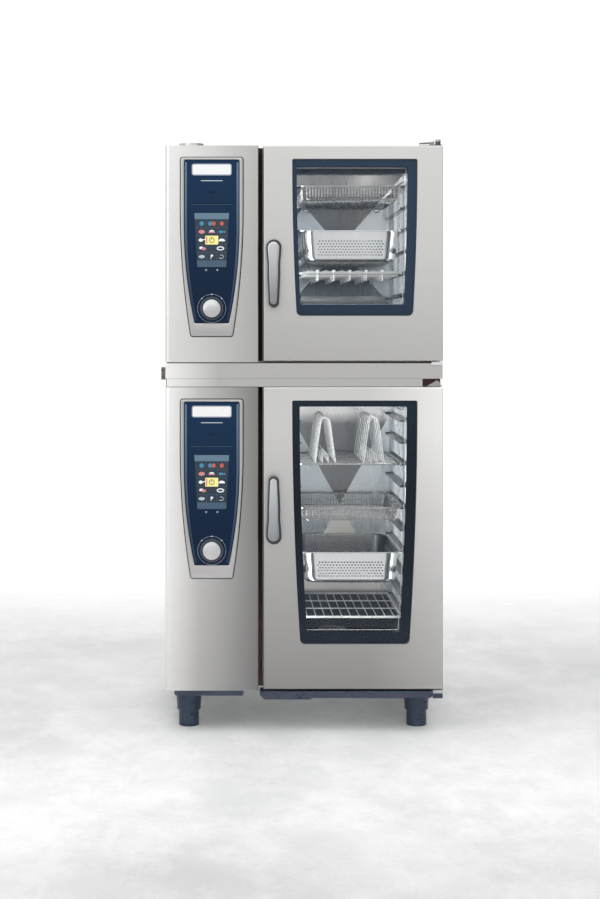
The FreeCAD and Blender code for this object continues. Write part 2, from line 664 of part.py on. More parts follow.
def fan_baffle(oven):
    """Plate between the fan and the trays, with intake slots and four stand-offs."""
    mid = oven.cavity_mid
    low = oven.cavity_z0 + 14
    high = oven.cavity_z1 - 14
    plate = box(BAFFLE_X, BAFFLE_X + SHEET, FAN_Y - 270, FAN_Y + 270, low, high)
    slots = []
    for row in range(-4, 5):
        z = mid + row * 20.0
        reach = math.sqrt(105.0 ** 2 - (row * 20.0) ** 2)
        slots.append(box(BAFFLE_X - 1, BAFFLE_X + 5, FAN_Y - reach, FAN_Y + reach, z - 6, z + 6))
    plate = plate.cut(Part.makeCompound(slots))
    posts = []
    for y in (FAN_Y - 245, FAN_Y + 245):
        for z in (oven.cavity_z0 + 40, oven.cavity_z1 - 40):
            posts.append(cyl_x(CAVITY_X0, BAFFLE_X + 0.5, y, z, 6.0))
    return fuse([plate] + posts)


def fan_wheel(oven):
    """Radial wheel with flat blades between two plates, on the motor shaft."""
    z = oven.cavity_mid
    x0 = FAN_X - 21
    x1 = FAN_X + 21
    back = cyl_x(x0, x0 + 2, FAN_Y, z, FAN_R)
    front = cyl_x(x1 - 2, x1, FAN_Y, z, FAN_R).cut(cyl_x(x1 - 3, x1 + 1, FAN_Y, z, FAN_R - 38))
    hub = cyl_x(x0, x0 + 26, FAN_Y, z, 22.0)
    shaft = cyl_x(MOTOR_X1 - 25, x0 + 5, FAN_Y, z, 8.0)
    pieces = [back, front, hub, shaft]
    count = 20
    for number in range(count):
        blade = box(x0 + 1, x1 - 1, FAN_Y - 1.0, FAN_Y + 1.0, z + FAN_R - 40, z + FAN_R - 3)
        blade.rotate(Vector(FAN_X, FAN_Y, z), Vector(1, 0, 0), 360.0 / count * number)
        pieces.append(blade)
    return fuse(pieces)


def fan_motor(oven):
    z = oven.cavity_mid
    body = cyl_x(MOTOR_X1 - 105, MOTOR_X1 - 6, FAN_Y, z, 58.0)
    face = cyl_x(MOTOR_X1 - 6, MOTOR_X1, FAN_Y, z, 66.0)
    cap = cyl_x(MOTOR_X1 - 112, MOTOR_X1 - 105, FAN_Y, z, 44.0)
    terminal = box(MOTOR_X1 - 90, MOTOR_X1 - 40, FAN_Y - 22, FAN_Y + 22, z + 50, z + 78)
    motor = fuse([body, face, cap, terminal])
    return motor.cut(cyl_x(MOTOR_X1 - 26, MOTOR_X1 + 1, FAN_Y, z, 8.0 + RUNNING_GAP))


def heater_coil(oven):
    """Three tubular rings round the fan, joined by their two supply legs."""
    z = oven.cavity_mid
    ring_r = FAN_R + 24
    pieces = []
    for x in (FAN_X - 14, FAN_X, FAN_X + 14):
        pieces.append(Part.makeTorus(ring_r, 4.5, Vector(x, FAN_Y, z), Vector(1, 0, 0)))
    for side in (-1, 1):
        pieces.append(cyl_x(CAVITY_X0, FAN_X + 14, FAN_Y + side * ring_r, z, 5.0))
    return fuse(pieces)


def steam_generator(oven):
    """Boiler in the column, with its steam pipe and water fitting."""
    x = -350.0
    y = 170.0
    z0 = oven.z + 50
    tank = cyl_z(x, y, z0, z0 + 210, 55.0)
    lid = cyl_z(x, y, z0 + 210, z0 + 222, 62.0)
    pipe = cyl_z(x, y, z0 + 222, z0 + 262, 14.0)
    elbow = cyl_x(x, CAVITY_X0 - 34, y, z0 + 250, 12.0)
    stand = box(x - 40, x + 40, y - 40, y + 40, oven.z + 2, z0)
    return fuse([tank, lid, pipe, elbow, stand])


def cavity_lamp(oven):
    return cyl_z(TRAY_X + 130, -190.0, oven.cavity_z1 - 7, oven.cavity_z1, 24.0)


def racks(oven):
    """Left and right hanging racks: three posts each, an angle rail per level, and wall pegs."""
    sides = []
    for side in (-1, 1):
        wall = CAVITY_X1 if side > 0 else BAFFLE_X + SHEET

        def span(a, b):
            ends = (TRAY_X + side * a, TRAY_X + side * b)
            return min(ends), max(ends)

        pieces = []
        post_low = oven.cavity_z0 + 30
        post_high = oven.level(oven.levels - 1) + 40
        post_x = span(172.0, 180.0)
        for y in (-210.0, 0.0, 210.0):
            pieces.append(box(post_x[0], post_x[1], y - 4, y + 4, post_low, post_high))
        for number in range(oven.levels):
            z = oven.level(number)
            leg = span(153.5, 173.0)
            lip = span(171.0, 173.0)
            pieces.append(box(leg[0], leg[1], TRAY_Y - 262, TRAY_Y + 262, z - 2, z))
            pieces.append(box(lip[0], lip[1], TRAY_Y - 262, TRAY_Y + 262, z - 2, z + 13))
        for y in (-210.0, 210.0):
            for z in (post_low + 12, post_high - 12):
                start = TRAY_X + side * 179.0
                pieces.append(cyl_x(min(start, wall), max(start, wall), y, z, 4.0))
        sides.append(fuse(pieces))
    return group(sides)


# ---------------------------------------------------------------- cooking accessories
def perforated_pan(oven, number):
    """Deep gastronorm container: flange on the rails, tapered body with rows of drain slots in the floor."""
    z = oven.level(number)
    depth = 98.0
    t = 1.2
    width = 300.0
    length = 505.0
    outer = rounded_pan(z, z - depth, width, length, 42.0, 14.0)
    inner = rounded_pan(z + 5, z - depth + t, width - 2 * t, length - 2 * t, 42.0 - t, 14.0 - t)
    flange = Part.Face(rounded_rectangle(TRAY_X, TRAY_Y, z, TRAY_W, TRAY_L, 18.0)).extrude(Vector(0, 0, t))
    pan = fuse([outer, flange]).cut(inner)
    slots = []
    for row in range(-6, 7):
        y = TRAY_Y + row * 30.0
        slots.append(box(TRAY_X - 100, TRAY_X + 100, y - 2, y + 2, z - depth - 1, z - depth + 3))
    return pan.cut(Part.makeCompound(slots))


def fry_basket(oven, number):
    """Shallow basket, its wire cloth taken as a thin shell with the true outer shape."""
    z = oven.level(number)
    depth = 38.0
    t = 2.0
    width = 302.0
    length = 507.0
    outer = rounded_pan(z, z - depth, width, length, 30.0, 8.0)
    inner = rounded_pan(z + 10, z - depth + t, width - 2 * t, length - 2 * t, 30.0 - t, 8.0 - t)
    rim = Part.Face(rounded_rectangle(TRAY_X, TRAY_Y, z, TRAY_W, TRAY_L, 18.0)).extrude(Vector(0, 0, 5.0))
    return fuse([outer, rim]).cut(inner)


def tray_frame(z, r):
    """Rod frame of gastronorm size whose centre line is at height z."""
    hx = TRAY_W / 2 - r
    hy = TRAY_L / 2 - r
    corners = [Vector(TRAY_X - hx, TRAY_Y - hy, z), Vector(TRAY_X + hx, TRAY_Y - hy, z),
               Vector(TRAY_X + hx, TRAY_Y + hy, z), Vector(TRAY_X - hx, TRAY_Y + hy, z)]
    pieces = [rod(corners[i], corners[(i + 1) % 4], r) for i in range(4)]
    pieces += [Part.makeSphere(r, corner) for corner in corners]
    return pieces


def wire_grid(oven, number):
    """Flat shelf: rod frame, three cross rods and eleven long wires on top of them."""
    r = 3.0
    z = oven.level(number) + r
    pieces = tray_frame(z, r)
    hx = TRAY_W / 2 - r
    hy = TRAY_L / 2 - r
    for y in (TRAY_Y - hy + 22, TRAY_Y - 80, TRAY_Y + 80):
        pieces.append(rod(Vector(TRAY_X - hx, y, z), Vector(TRAY_X + hx, y, z), 2.5))
    for row in range(-5, 6):
        x = TRAY_X + row * 27.0
        pieces.append(rod(Vector(x, TRAY_Y - hy, z + 2.2), Vector(x, TRAY_Y + hy, z + 2.2), 1.6))
    return fuse(pieces)


def spike_rack(oven, number):
    """Rack with six cross strips, each carrying five spikes that taper downward."""
    r = 3.0
    z = oven.level(number) + r
    pieces = tray_frame(z, r)
    for row in range(6):
        y = TRAY_Y - 225 + row * 90.0
        pieces.append(box(TRAY_X - 152, TRAY_X + 152, y - 0.9, y + 0.9, z - 6, z + 12))
        pieces.append(rod(Vector(TRAY_X - 159, y, z), Vector(TRAY_X + 159, y, z), 2.0))
        for spike in range(-2, 3):
            x = TRAY_X + spike * 50.0
            pieces.append(Part.makeCone(2.5, 5.0, 34.0, Vector(x, y, z - 22)))
    return fuse(pieces)


def poultry_rack(oven, number):
    """Rack with two rows of tall wire hoops."""
    r = 3.0
    z = oven.level(number) + r
    pieces = tray_frame(z, r)
    wire = 1.9
    for row in range(HOOPS_PER_ROW):
        y = TRAY_Y + (row - (HOOPS_PER_ROW - 1) / 2) * HOOP_PITCH
        pieces.append(rod(Vector(TRAY_X - 159, y, z), Vector(TRAY_X + 159, y, z), 2.5))
        for side in (-1, 1):
            x = TRAY_X + side * 76.0
            left = [Vector(x - 30, y, z), Vector(x - 16, y, z + 128), Vector(x - 9, y, z + 142)]
            right = [Vector(x + 30, y, z), Vector(x + 16, y, z + 128), Vector(x + 9, y, z + 142)]
            path = left + right[::-1]
            for a, b in zip(path, path[1:]):
                pieces.append(rod(a, b, wire))
            pieces += [Part.makeSphere(wire, point) for point in path[1:-1]]
    for side in (-1, 1):
        for shift in (-30, 30):
            x = TRAY_X + side * 76.0 + shift
            pieces.append(rod(Vector(x, TRAY_Y - 259, z), Vector(x, TRAY_Y + 259, z), 2.5))
    return fuse(pieces)


# ---------------------------------------------------------------- base, exhaust and services
def base_rails():
    """Two rails under the lower oven that carry the foot sockets."""
    z0 = SOCKET_H + FOOT_SEEN
    left = box(-396, -184, FRONT_Y + 14, BACK_Y - 20, z0, RAIL_TOP)
    right = box(275, 396, BODY_Y + 1, BACK_Y - 20, z0, RAIL_TOP)
    rounded = []
    for rail in (left, right):
        limits = (rail.BoundBox.ZMin,)
        rounded.append(round_y_edges(rail, limits, (8.0,)))
    top_plate_left = box(-396, -184, FRONT_Y + 70, BACK_Y - 20, RAIL_TOP, FOOT_H)
    top_plate_right = box(275, 396, FRONT_Y + 70, BACK_Y - 20, RAIL_TOP, FOOT_H)
    return group([fuse([rounded[0], top_plate_left]), fuse([rounded[1], top_plate_right])])


def drip_tray():
    """Trough in front of the cabinet, under the lower door, deeper at its left end where it drains."""
    top = LOWER_Z - 1.5
    y0 = FRONT_Y + 1.0
    y1 = BODY_Y - 8.0

    def profile(inset, y_from, y_to):
        x0 = DOOR_X - 11 + inset
        x1 = 391.0 - inset
        low = LOWER_Z - 27 + inset
        mid = LOWER_Z - 23 + inset
        points = [Vector(x0, y_from, top), Vector(x0, y_from, low + 13), Vector(x0 + 14, y_from, low),
                  Vector(x0 + 150, y_from, low), Vector(x0 + 164, y_from, mid), Vector(x1 - 6, y_from, mid),
                  Vector(x1, y_from, mid + 6), Vector(x1, y_from, top)]
        return Part.Face(Part.makePolygon(points + [points[0]])).extrude(Vector(0, y_to - y_from, 0))

    trough = profile(0.0, y0, y1)
    hollow = profile(3.0, y0 + 3, y1 - 3)
    lip = box(DOOR_X, 270.0, y1 - 2, BODY_Y + 20, LOWER_Z - 12, LOWER_Z - 9)
    return fuse([trough.cut(hollow), lip])


def foot_places():
    for depth_name, y in (("front", -FOOT_Y), ("rear", FOOT_Y)):
        for side_name, x in (("left", -FOOT_X), ("right", FOOT_X)):
            yield depth_name + "_" + side_name, x, y


def foot_socket(x, y):
    """Tapered collar that the foot sleeve slides up into."""
    top = Part.makeCone(37.0, 41.5, SOCKET_H, Vector(x, y, FOOT_SEEN))
    return top.cut(cyl_z(x, y, FOOT_SEEN - 1, FOOT_SEEN + SOCKET_H - SOCKET_ROOF, FOOT_R + 0.8))


def foot(x, y):
    """Adjustable foot: hollow-topped sleeve with a rounded tread, drawn screwed in to its stop."""
    top = FOOT_SEEN + SOCKET_H - SOCKET_ROOF - 0.1
    sleeve = cyl_z(x, y, 0, top, FOOT_R)
    bottom = [edge for edge in sleeve.Edges if edge.BoundBox.ZMax < 1e-3 and edge.Closed]
    sleeve = sleeve.makeFillet(2.5, bottom)
    return sleeve.cut(cyl_z(x, y, FOOT_SEEN + 4, top + 1, FOOT_R - 4))


def exhaust_pipe():
    """Vent stub on the upper oven's top, with its fixing flange."""
    z = UPPER.casing_top
    flange = cyl_z(EXHAUST_X, EXHAUST_Y, z, z + 3, EXHAUST_R + 12)
    pipe = cyl_z(EXHAUST_X, EXHAUST_Y, z, z + 66, EXHAUST_R)
    return fuse([flange, pipe]).cut(cyl_z(EXHAUST_X, EXHAUST_Y, z - 1, z + 70, EXHAUST_R - 2))


def rear_connectors(oven):
    """Water inlet stub and drain pipe stub on the rear panel."""
    water_z = oven.z + 90
    drain_z = oven.z + 60
    nut = Part.makeCylinder(19.0, 7.0, Vector(WATER_X, BACK_Y, water_z), Vector(0, 1, 0))
    inlet = cyl_y(WATER_X, BACK_Y + 7, BACK_Y + 7 + WATER_LEN, water_z, WATER_R)
    inlet = fuse([nut, inlet]).cut(cyl_y(WATER_X, BACK_Y + 1, BACK_Y + 40, water_z, 8.0))
    collar = cyl_y(DRAIN_X, BACK_Y, BACK_Y + 5, drain_z, 34.0)
    drain = fuse([collar, cyl_y(DRAIN_X, BACK_Y + 5, BACK_Y + 5 + DRAIN_LEN, drain_z, DRAIN_R)])
    return [inlet, drain.cut(cyl_y(DRAIN_X, BACK_Y + 1, BACK_Y + 60, drain_z, DRAIN_R - 2))]


def casing_screws():
    """Pan-head screws along the edges of the two rear panels."""
    screws = []
    for oven in OVENS:
        low = oven.z + 14
        high = oven.casing_top - 12
        rows = 4 if oven is UPPER else 5
        for row in range(rows):
            z = low + (high - low) * row / (rows - 1)
            for x in (-HALF_W + 12, HALF_W - 12):
                head = cyl_y(x, BACK_Y, BACK_Y + 2.4, z, 5.0)
                slot = box(x - 3.5, x + 3.5, BACK_Y + 1.4, BACK_Y + 3, z - 0.6, z + 0.6)
                screws.append(head.cut(slot))
    return group(screws)


def build():
    for oven in OVENS:
        name = oven.name
        save(name + "_casing", casing(oven))
        save(name + "_column_front", column_front(oven))
        save(name + "_dial_knob", dial_knob(oven))
        save(name + "_dial_plunger", dial_plunger(oven))
        liner = cavity(oven).fuse(dished_rear_panel(oven)).removeSplitter()
        save(name + "_cavity", liner)
        save(name + "_fan_wheel", fan_wheel(oven))
        save(name + "_racks", racks(oven))
        save(name + "_door_shell", door_shell(oven))
        save(name + "_door_outer_glass", door_outer_glass(oven))
        save(name + "_door_inner_frame", door_inner_frame(oven))
        save(name + "_door_inner_glass", door_inner_glass(oven))
        save(name + "_handle_lever", handle_lever(oven))
        save(name + "_latch_spindle", latch_spindle(oven))

    pairs = {
        "control_bezels": control_bezel, "control_fascias": control_fascia, "displays": display,
        "control_boards": control_board, "latch_keepers": latch_keeper, "rear_panels": rear_panel,
        "base_pans": base_pan, "insulation_jackets": insulation_jacket, "door_seals": door_seal,
        "fan_baffles": fan_baffle, "fan_motors": fan_motor, "heater_coils": heater_coil,
        "steam_generators": steam_generator, "cavity_lamps": cavity_lamp,
    }
    for name, maker in pairs.items():
        save(name, group([maker(oven) for oven in OVENS]))

    save("hinge_brackets", group(upper_oven_brackets() + lower_oven_brackets()))
    save("perforated_pans", group([perforated_pan(UPPER, 3), perforated_pan(LOWER, 3)]))
    save("fry_baskets", group([fry_basket(UPPER, 5), fry_basket(LOWER, 5)]))
    save("upper_spike_rack", spike_rack(UPPER, 1))
    save("lower_poultry_rack", poultry_rack(LOWER, 7))
    save("lower_wire_grid", wire_grid(LOWER, 0))

    save("lower_header", header())
    save("stack_frame", stack_frame())
    save("stack_side_clamp", side_clamp())
    save("drip_tray", drip_tray())
    save("base_rails", base_rails())
    save("foot_sockets", group([foot_socket(x, y) for _, x, y in foot_places()]))
    for name, x, y in foot_places():
        save("foot_" + name, foot(x, y))
    save("exhaust_pipe", exhaust_pipe())
    save("rear_connectors", group([s for oven in OVENS for s in rear_connectors(oven)]))
    save("casing_screws", casing_screws())


def main():
    build()
    os.makedirs("parts", exist_ok=True)
    for name, shape in PARTS.items():
        if not shape.isValid():
            print("invalid shape:", name)
        shape.exportStep("parts/" + name + ".step")
    print(len(PARTS), "nodes,", sum(len(shape.Solids) for shape in PARTS.values()), "solids")


main()
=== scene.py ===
"""Looks of the stacked combi steamer ovens: detailed pieces, procedural materials, light and camera."""
from functools import partial
from math import asin, cos, exp, pi, radians, sin, sqrt, tau

import bmesh
import bpy
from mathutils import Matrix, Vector


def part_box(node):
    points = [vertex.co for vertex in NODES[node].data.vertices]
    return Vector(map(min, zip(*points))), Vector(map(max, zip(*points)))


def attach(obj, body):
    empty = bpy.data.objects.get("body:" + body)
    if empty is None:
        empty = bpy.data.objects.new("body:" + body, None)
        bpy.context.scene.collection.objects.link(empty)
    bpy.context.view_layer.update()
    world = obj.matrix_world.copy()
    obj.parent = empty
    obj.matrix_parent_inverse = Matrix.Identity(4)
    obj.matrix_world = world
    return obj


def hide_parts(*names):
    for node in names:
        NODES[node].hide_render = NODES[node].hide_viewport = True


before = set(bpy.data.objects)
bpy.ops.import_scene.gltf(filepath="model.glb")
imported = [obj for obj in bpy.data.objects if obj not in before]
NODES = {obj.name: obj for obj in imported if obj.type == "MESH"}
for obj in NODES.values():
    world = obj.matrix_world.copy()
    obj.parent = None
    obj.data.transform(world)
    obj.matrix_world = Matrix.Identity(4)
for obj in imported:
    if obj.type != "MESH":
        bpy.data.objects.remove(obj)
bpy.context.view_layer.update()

MM = 0.001
PANEL_MARGIN = 37
FIRST_LEVEL = 203
LEVEL_PITCH = 68


# ---------------------------------------------------------------- places taken from the frame
def mm_box(node):
    low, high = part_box(node)
    return low / MM, high / MM


class Oven:
    """Places of one oven, in millimetres, read from its CAD nodes."""

    def __init__(self, name, levels, mouth, glass_half_bottom, print_side, print_top, lean, handle_way):
        self.name = name
        self.column = mm_box(name + "_column_front")
        self.door = mm_box(name + "_door_shell")
        self.glass = mm_box(name + "_door_outer_glass")
        self.knob = mm_box(name + "_dial_knob")
        spindle = mm_box(name + "_latch_spindle")
        self.pivot = (spindle[0] + spindle[1]) / 2
        self.z = self.column[0].z
        self.top = self.column[1].z
        self.front = self.column[0].y
        self.panel_x = (self.column[0].x + self.column[1].x) / 2
        self.panel_top = self.top - PANEL_MARGIN
        self.dial_z = (self.knob[0].z + self.knob[1].z) / 2
        self.mouth = (self.z + mouth[0], self.z + mouth[1])
        self.levels = [self.z + FIRST_LEVEL + LEVEL_PITCH * i for i in range(levels)]
        self.glass_half_bottom = glass_half_bottom
        self.print_side = print_side
        self.print_top = print_top
        self.lean = lean
        self.handle_way = handle_way


UPPER = Oven("upper", 6, (136, 626), 177, 14, 23, 8, -1)
LOWER = Oven("lower", 10, (120, 890), 166, 23, 18.5, 4.5, 1)
OVENS = (UPPER, LOWER)
HINGE_PIN = (411.5, -359)
TRAY_X, TRAY_Y = 150, -15
LINER_RIGHT = 365
BAFFLE_X = -62.5
BODY_DEPTH = 68
BOTH_SIDES = (-1, 1)


# ---------------------------------------------------------------- mesh helpers
def finish(name, bm, material, smooth=40, replaces=(), body="cabinet", centres=()):
    """Turns a bmesh in millimetres into a piece on a body; open sheets face away from the nearest centre."""
    bmesh.ops.recalc_face_normals(bm, faces=bm.faces)
    for face in (bm.faces if centres else ()):
        spot = face.calc_center_median()
        nearest = min(centres, key=lambda centre: abs(centre.z - spot.z))
        if face.normal.dot(spot - nearest) < 0:
            face.normal_flip()
    bmesh.ops.scale(bm, vec=(MM, MM, MM), verts=bm.verts)
    mesh = bpy.data.meshes.new(name)
    bm.to_mesh(mesh)
    bm.free()
    mesh.materials.append(material)
    piece = bpy.data.objects.new(name, mesh)
    bpy.context.scene.collection.objects.link(piece)
    shade(piece, smooth)
    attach(piece, body)
    if replaces:
        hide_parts(*replaces)
    return piece


def meshes(count):
    return [bmesh.new() for _ in range(count)]


def shade(piece, angle):
    """Smooth faces, with edges sharper than the angle kept crisp."""
    mesh = piece.data
    mesh.polygons.foreach_set("use_smooth", [True] * len(mesh.polygons))
    mesh.set_sharp_from_angle(angle=radians(angle))


def loft(bm, rings, close=True, capped=False, wrap=False):
    """Quads between consecutive rings of points."""
    rows = [[bm.verts.new(point) for point in ring] for ring in rings]
    pairs = list(zip(rows, rows[1:]))
    if wrap:
        pairs.append((rows[-1], rows[0]))
    for a, b in pairs:
        count = len(a)
        for i in range(count if close else count - 1):
            j = (i + 1) % count
            bm.faces.new((a[i], a[j], b[j], b[i]))
    if capped:
        bm.faces.new(rows[0])
        bm.faces.new(rows[-1])
    return rows


def circle(middle, side, other, radius, count):
    turn = [tau * k / count for k in range(count)]
    return [middle + (side * cos(a) + other * sin(a)) * radius for a in turn]


def tube(bm, points, radius, sides=8, closed=False):
    """Round wire along a path."""
    points = [Vector(p) for p in points]
    count = len(points)
    rings = []
    normal = None
    for i, point in enumerate(points):
        if closed:
            way = points[(i + 1) % count] - points[i - 1]
        else:
            way = points[min(i + 1, count - 1)] - points[max(i - 1, 0)]
        way.normalize()
        if normal is None:
            normal = way.orthogonal().normalized()
        normal = (normal - way * normal.dot(way)).normalized()
        rings.append(circle(point, normal, way.cross(normal), radius, sides))
    loft(bm, rings, capped=not closed, wrap=closed)


def lathe(bm, centre, axis, profile, segments=48):
    """Profile of (radius, height) pairs turned round an axis; zero radii close on a point."""
    axis = Vector(axis).normalized()
    side = axis.orthogonal().normalized()
    rows = []
    for radius, height in profile:
        middle = Vector(centre) + axis * height
        ring = circle(middle, side, axis.cross(side), radius, segments) if radius > 0 else [middle]
        rows.append([bm.verts.new(point) for point in ring])
    for a, b in zip(rows, rows[1:]):
        for i in range(segments if len(a) + len(b) > 2 else 0):
            j = (i + 1) % segments
            corners = (a[i % len(a)], a[j % len(a)], b[j % len(b)], b[i % len(b)])
            bm.faces.new(list(dict.fromkeys(corners)))


def block(bm, low, high, bevel=1, segments=2):
    """Box with rounded edges."""
    made = bmesh.ops.create_cube(bm, size=1)["verts"]
    for vert in made:
        vert.co = Vector([low[k] + (vert.co[k] + 0.5) * (high[k] - low[k]) for k in range(3)])
    edges = list({edge for vert in made for edge in vert.link_edges})
    bmesh.ops.bevel(bm, geom=edges, offset=bevel, segments=segments, affect="EDGES", profile=0.5)


def rounded_rect(cx, cy, width, length, radius, corner=6):
    """Points of a rounded rectangle as (first, second) coordinates."""
    points = []
    for sx, sy, start in ((1, 1, 0), (-1, 1, 90), (-1, -1, 180), (1, -1, 270)):
        ox = cx + sx * (width / 2 - radius)
        oy = cy + sy * (length / 2 - radius)
        for i in range(corner + 1):
            a = radians(start + 90 * i / corner)
            points.append((ox + radius * cos(a), oy + radius * sin(a)))
    return points


def tapered_outline(cx, z0, z1, top, bottom, knee, r_top, r_bottom, grow=0, corner=8, side=36):
    """Loop of (x, z): straight sides down to the knee, then arcs that draw in towards the bottom."""
    z_knee = z1 - (z1 - z0) * knee
    drop = z_knee - z0
    radius = (drop ** 2 + (top - bottom) ** 2) / (2 * (top - bottom))

    def half(z):
        if z >= z_knee:
            return top + grow
        return top - radius + sqrt(radius ** 2 - (z_knee - z) ** 2) + grow

    z1 += grow
    z0 -= grow
    r_top = max(r_top + grow, 0.3)
    r_bottom = max(r_bottom + grow, 0.3)
    right = []
    for i in range(corner + 1):
        a = pi / 2 * (1 - i / corner)
        right.append((top + grow - r_top + r_top * cos(a), z1 - r_top + r_top * sin(a)))
    for i in range(1, side):
        z = z1 - r_top - (z1 - r_top - z0 - r_bottom) * i / side
        right.append((half(z), z))
    end = half(z0 + r_bottom)
    for i in range(corner + 1):
        a = -pi / 2 * i / corner
        right.append((end - r_bottom + r_bottom * cos(a), z0 + r_bottom + r_bottom * sin(a)))
    loop = right + [(-x, z) for x, z in reversed(right)]
    return [(cx + x, z) for x, z in loop]


def at_x(outline, x):
    return [Vector((x, y, z)) for y, z in outline]


def at_y(outline, y):
    return [Vector((x, y, z)) for x, z in outline]


def at_z(outline, z):
    return [Vector((x, y, z)) for x, y in outline]


def plate(bm, outline, y_back, y_front, bevel=0.4):
    """Thin plate that faces -Y, with a small bevel round its front edge."""
    centre = Vector([sum(point[k] for point in outline) / len(outline) for k in range(2)])
    small = []
    for point in outline:
        away = Vector(point) - centre
        small.append(centre + away * (1 - bevel / max(away.length, 1e-6)))
    loft(bm, [at_y(outline, y_back), at_y(outline, y_front + bevel), at_y(small, y_front)], capped=True)


def moulding(bm, outline, y, steps):
    """Closed frame: an outline function's loops at (grow, depth) steps, joined all round."""
    loft(bm, [at_y(outline(grow), y + depth) for grow, depth in steps], wrap=True)


def print_plate(bm, outline, face, out=0.25):
    """Raised print on the face of a panel."""
    plate(bm, outline, face + 0.3, face - out, 0.1)


def ellipse(cx, cz, rx, rz, start=0, stop=360, steps=24):
    count = steps if stop - start >= 360 else steps + 1
    turn = [radians(start + (stop - start) * i / steps) for i in range(count)]
    return [(cx + rx * cos(a), cz + rz * sin(a)) for a in turn]


def cove(u, v, radius, way):
    """Fillet section that closes the corner at (u, v), rising the given way."""
    turn = [pi / 2 * i / 6 for i in range(7)]
    section = [(u - radius + radius * sin(a), v + way * (radius - radius * cos(a))) for a in turn]
    return section + [(u + 0.3, v + way * radius), (u + 0.3, v - way * 0.3), (u - radius, v - way * 0.3)]


# ---------------------------------------------------------------- material helpers
class Graph:
    """Node tree that is built up step by step."""

    def __init__(self, tree):
        self.nodes = tree.nodes
        self.links = tree.links

    def feed(self, socket, value):
        """Links a socket to another one, or sets its value; colours get an alpha of one."""
        if isinstance(value, bpy.types.NodeSocket):
            self.links.new(value, socket)
        else:
            socket.default_value = (*value, 1) if socket.type == "RGBA" else value

    def add(self, kind, inputs=None, **settings):
        node = self.nodes.new(kind)
        for key, value in settings.items():
            setattr(node, key, value)
        for key, value in (inputs or {}).items():
            self.feed(node.inputs[key], value)
        return node

    def spread(self, value, low=0, high=1, start=0.3, stop=0.7):
        """Maps a value from start..stop onto low..high."""
        ends = {"Value": value, "From Min": start, "From Max": stop, "To Min": low, "To Max": high}
        return self.add("ShaderNodeMapRange", ends).outputs[0]

    def calc(self, operation, a, b):
        return self.add("ShaderNodeMath", {0: a, 1: b}, operation=operation).outputs[0]

    def plus(self, a, b):
        return self.calc("ADD", a, b)

    def times(self, a, b):
        return self.calc("MULTIPLY", a, b)

    def mix(self, factor, a, b):
        return self.add("ShaderNodeMix", {0: factor, 6: a, 7: b}, data_type="RGBA").outputs[2]

    def mix_shader(self, factor, a, b):
        return self.add("ShaderNodeMixShader", {0: factor, 1: a.outputs[0], 2: b.outputs[0]})

    def scaled(self, base, level):
        return self.add("ShaderNodeVectorMath", {0: base, 1: level}, operation="MULTIPLY").outputs[0]

    def split(self, vector):
        return self.add("ShaderNodeSeparateXYZ", {"Vector": vector}).outputs


class Shader(Graph):
    """Node material with its textures in object space."""

    def __init__(self, name):
        self.material = bpy.data.materials.new(name)
        self.material.use_nodes = True
        super().__init__(self.material.node_tree)
        self.bsdf = self.nodes["Principled BSDF"]
        self.coordinates = self.add("ShaderNodeTexCoord").outputs["Object"]

    def set(self, **values):
        for key, value in values.items():
            self.feed(self.bsdf.inputs[key.replace("_", " ")], value)

    def surface(self, shader):
        self.feed(self.nodes["Material Output"].inputs["Surface"], shader.outputs[0])
        return self.material

    def placed(self, scale, offset=0):
        """Object space with a scale in waves per metre, one for all axes or one for each."""
        scale = scale if isinstance(scale, tuple) else (scale,) * 3
        shift = (offset, offset * 0.7, offset * 1.3)
        inputs = {"Vector": self.coordinates, "Scale": scale, "Location": shift}
        return self.add("ShaderNodeMapping", inputs).outputs[0]

    def noise(self, scale, detail=4, rough=0.6, offset=0):
        inputs = {"Vector": self.placed(scale, offset), "Scale": 1, "Detail": detail, "Roughness": rough}
        return self.add("ShaderNodeTexNoise", inputs).outputs["Fac"]

    def voronoi(self, scale, feature="F1"):
        return self.add("ShaderNodeTexVoronoi", {"Vector": self.placed(scale), "Scale": 1}, feature=feature)

    def cells(self, scale):
        """Grey level that changes from cell to cell."""
        color = self.voronoi(scale).outputs["Color"]
        return self.add("ShaderNodeRGBToBW", {"Color": color}).outputs[0]

    def tinted(self, value, color, low, high, *ends):
        """Colour that varies between two levels of itself with the value."""
        return self.mix(self.spread(value, *ends), [c * low for c in color], [c * high for c in color])

    def ramped(self, base, ramps):
        """Paints light and shade into a colour by (axis, start, stop, low, high) ramps in metres."""
        for letter, start, stop, low, high in ramps:
            base = self.scaled(base, self.spread(self.axis(letter), low, high, start, stop))
        return base

    def height(self, value, strength, distance):
        made = self.add("ShaderNodeBump", {"Height": value, "Strength": strength, "Distance": distance})
        self.set(Normal=made.outputs[0])

    def axis(self, letter):
        return self.split(self.coordinates)[letter]


def brushed(name, color, rough=0.34, ramps=()):
    """Satin sheet: long streaks, fine grain and soft handling marks. Each ramp paints light and shade along
    an axis.
    """
    s = Shader(name)
    streak = s.noise((6, 6, 900))
    fine = s.noise((24, 24, 3600), 3, 0.7, 3.1)
    cloud = s.noise((2.1, 2.1, 2.6), 3, 0.5, 8)
    marks = s.noise((14, 14, 9), 6, 0.7, 5)
    base = s.mix(0.5, s.tinted(streak, color, 0.95, 1.04), s.tinted(cloud, color, 0.975, 1.015))
    s.set(Base_Color=s.ramped(base, ramps), Metallic=1)
    worn = s.plus(s.spread(streak, -0.03, 0.04), s.spread(marks, -0.015, 0.03, 0.45, 0.75))
    s.set(Roughness=s.plus(worn, rough))
    s.height(s.plus(streak, s.times(fine, 0.6)), 0.10, 0.0004)
    return s.material


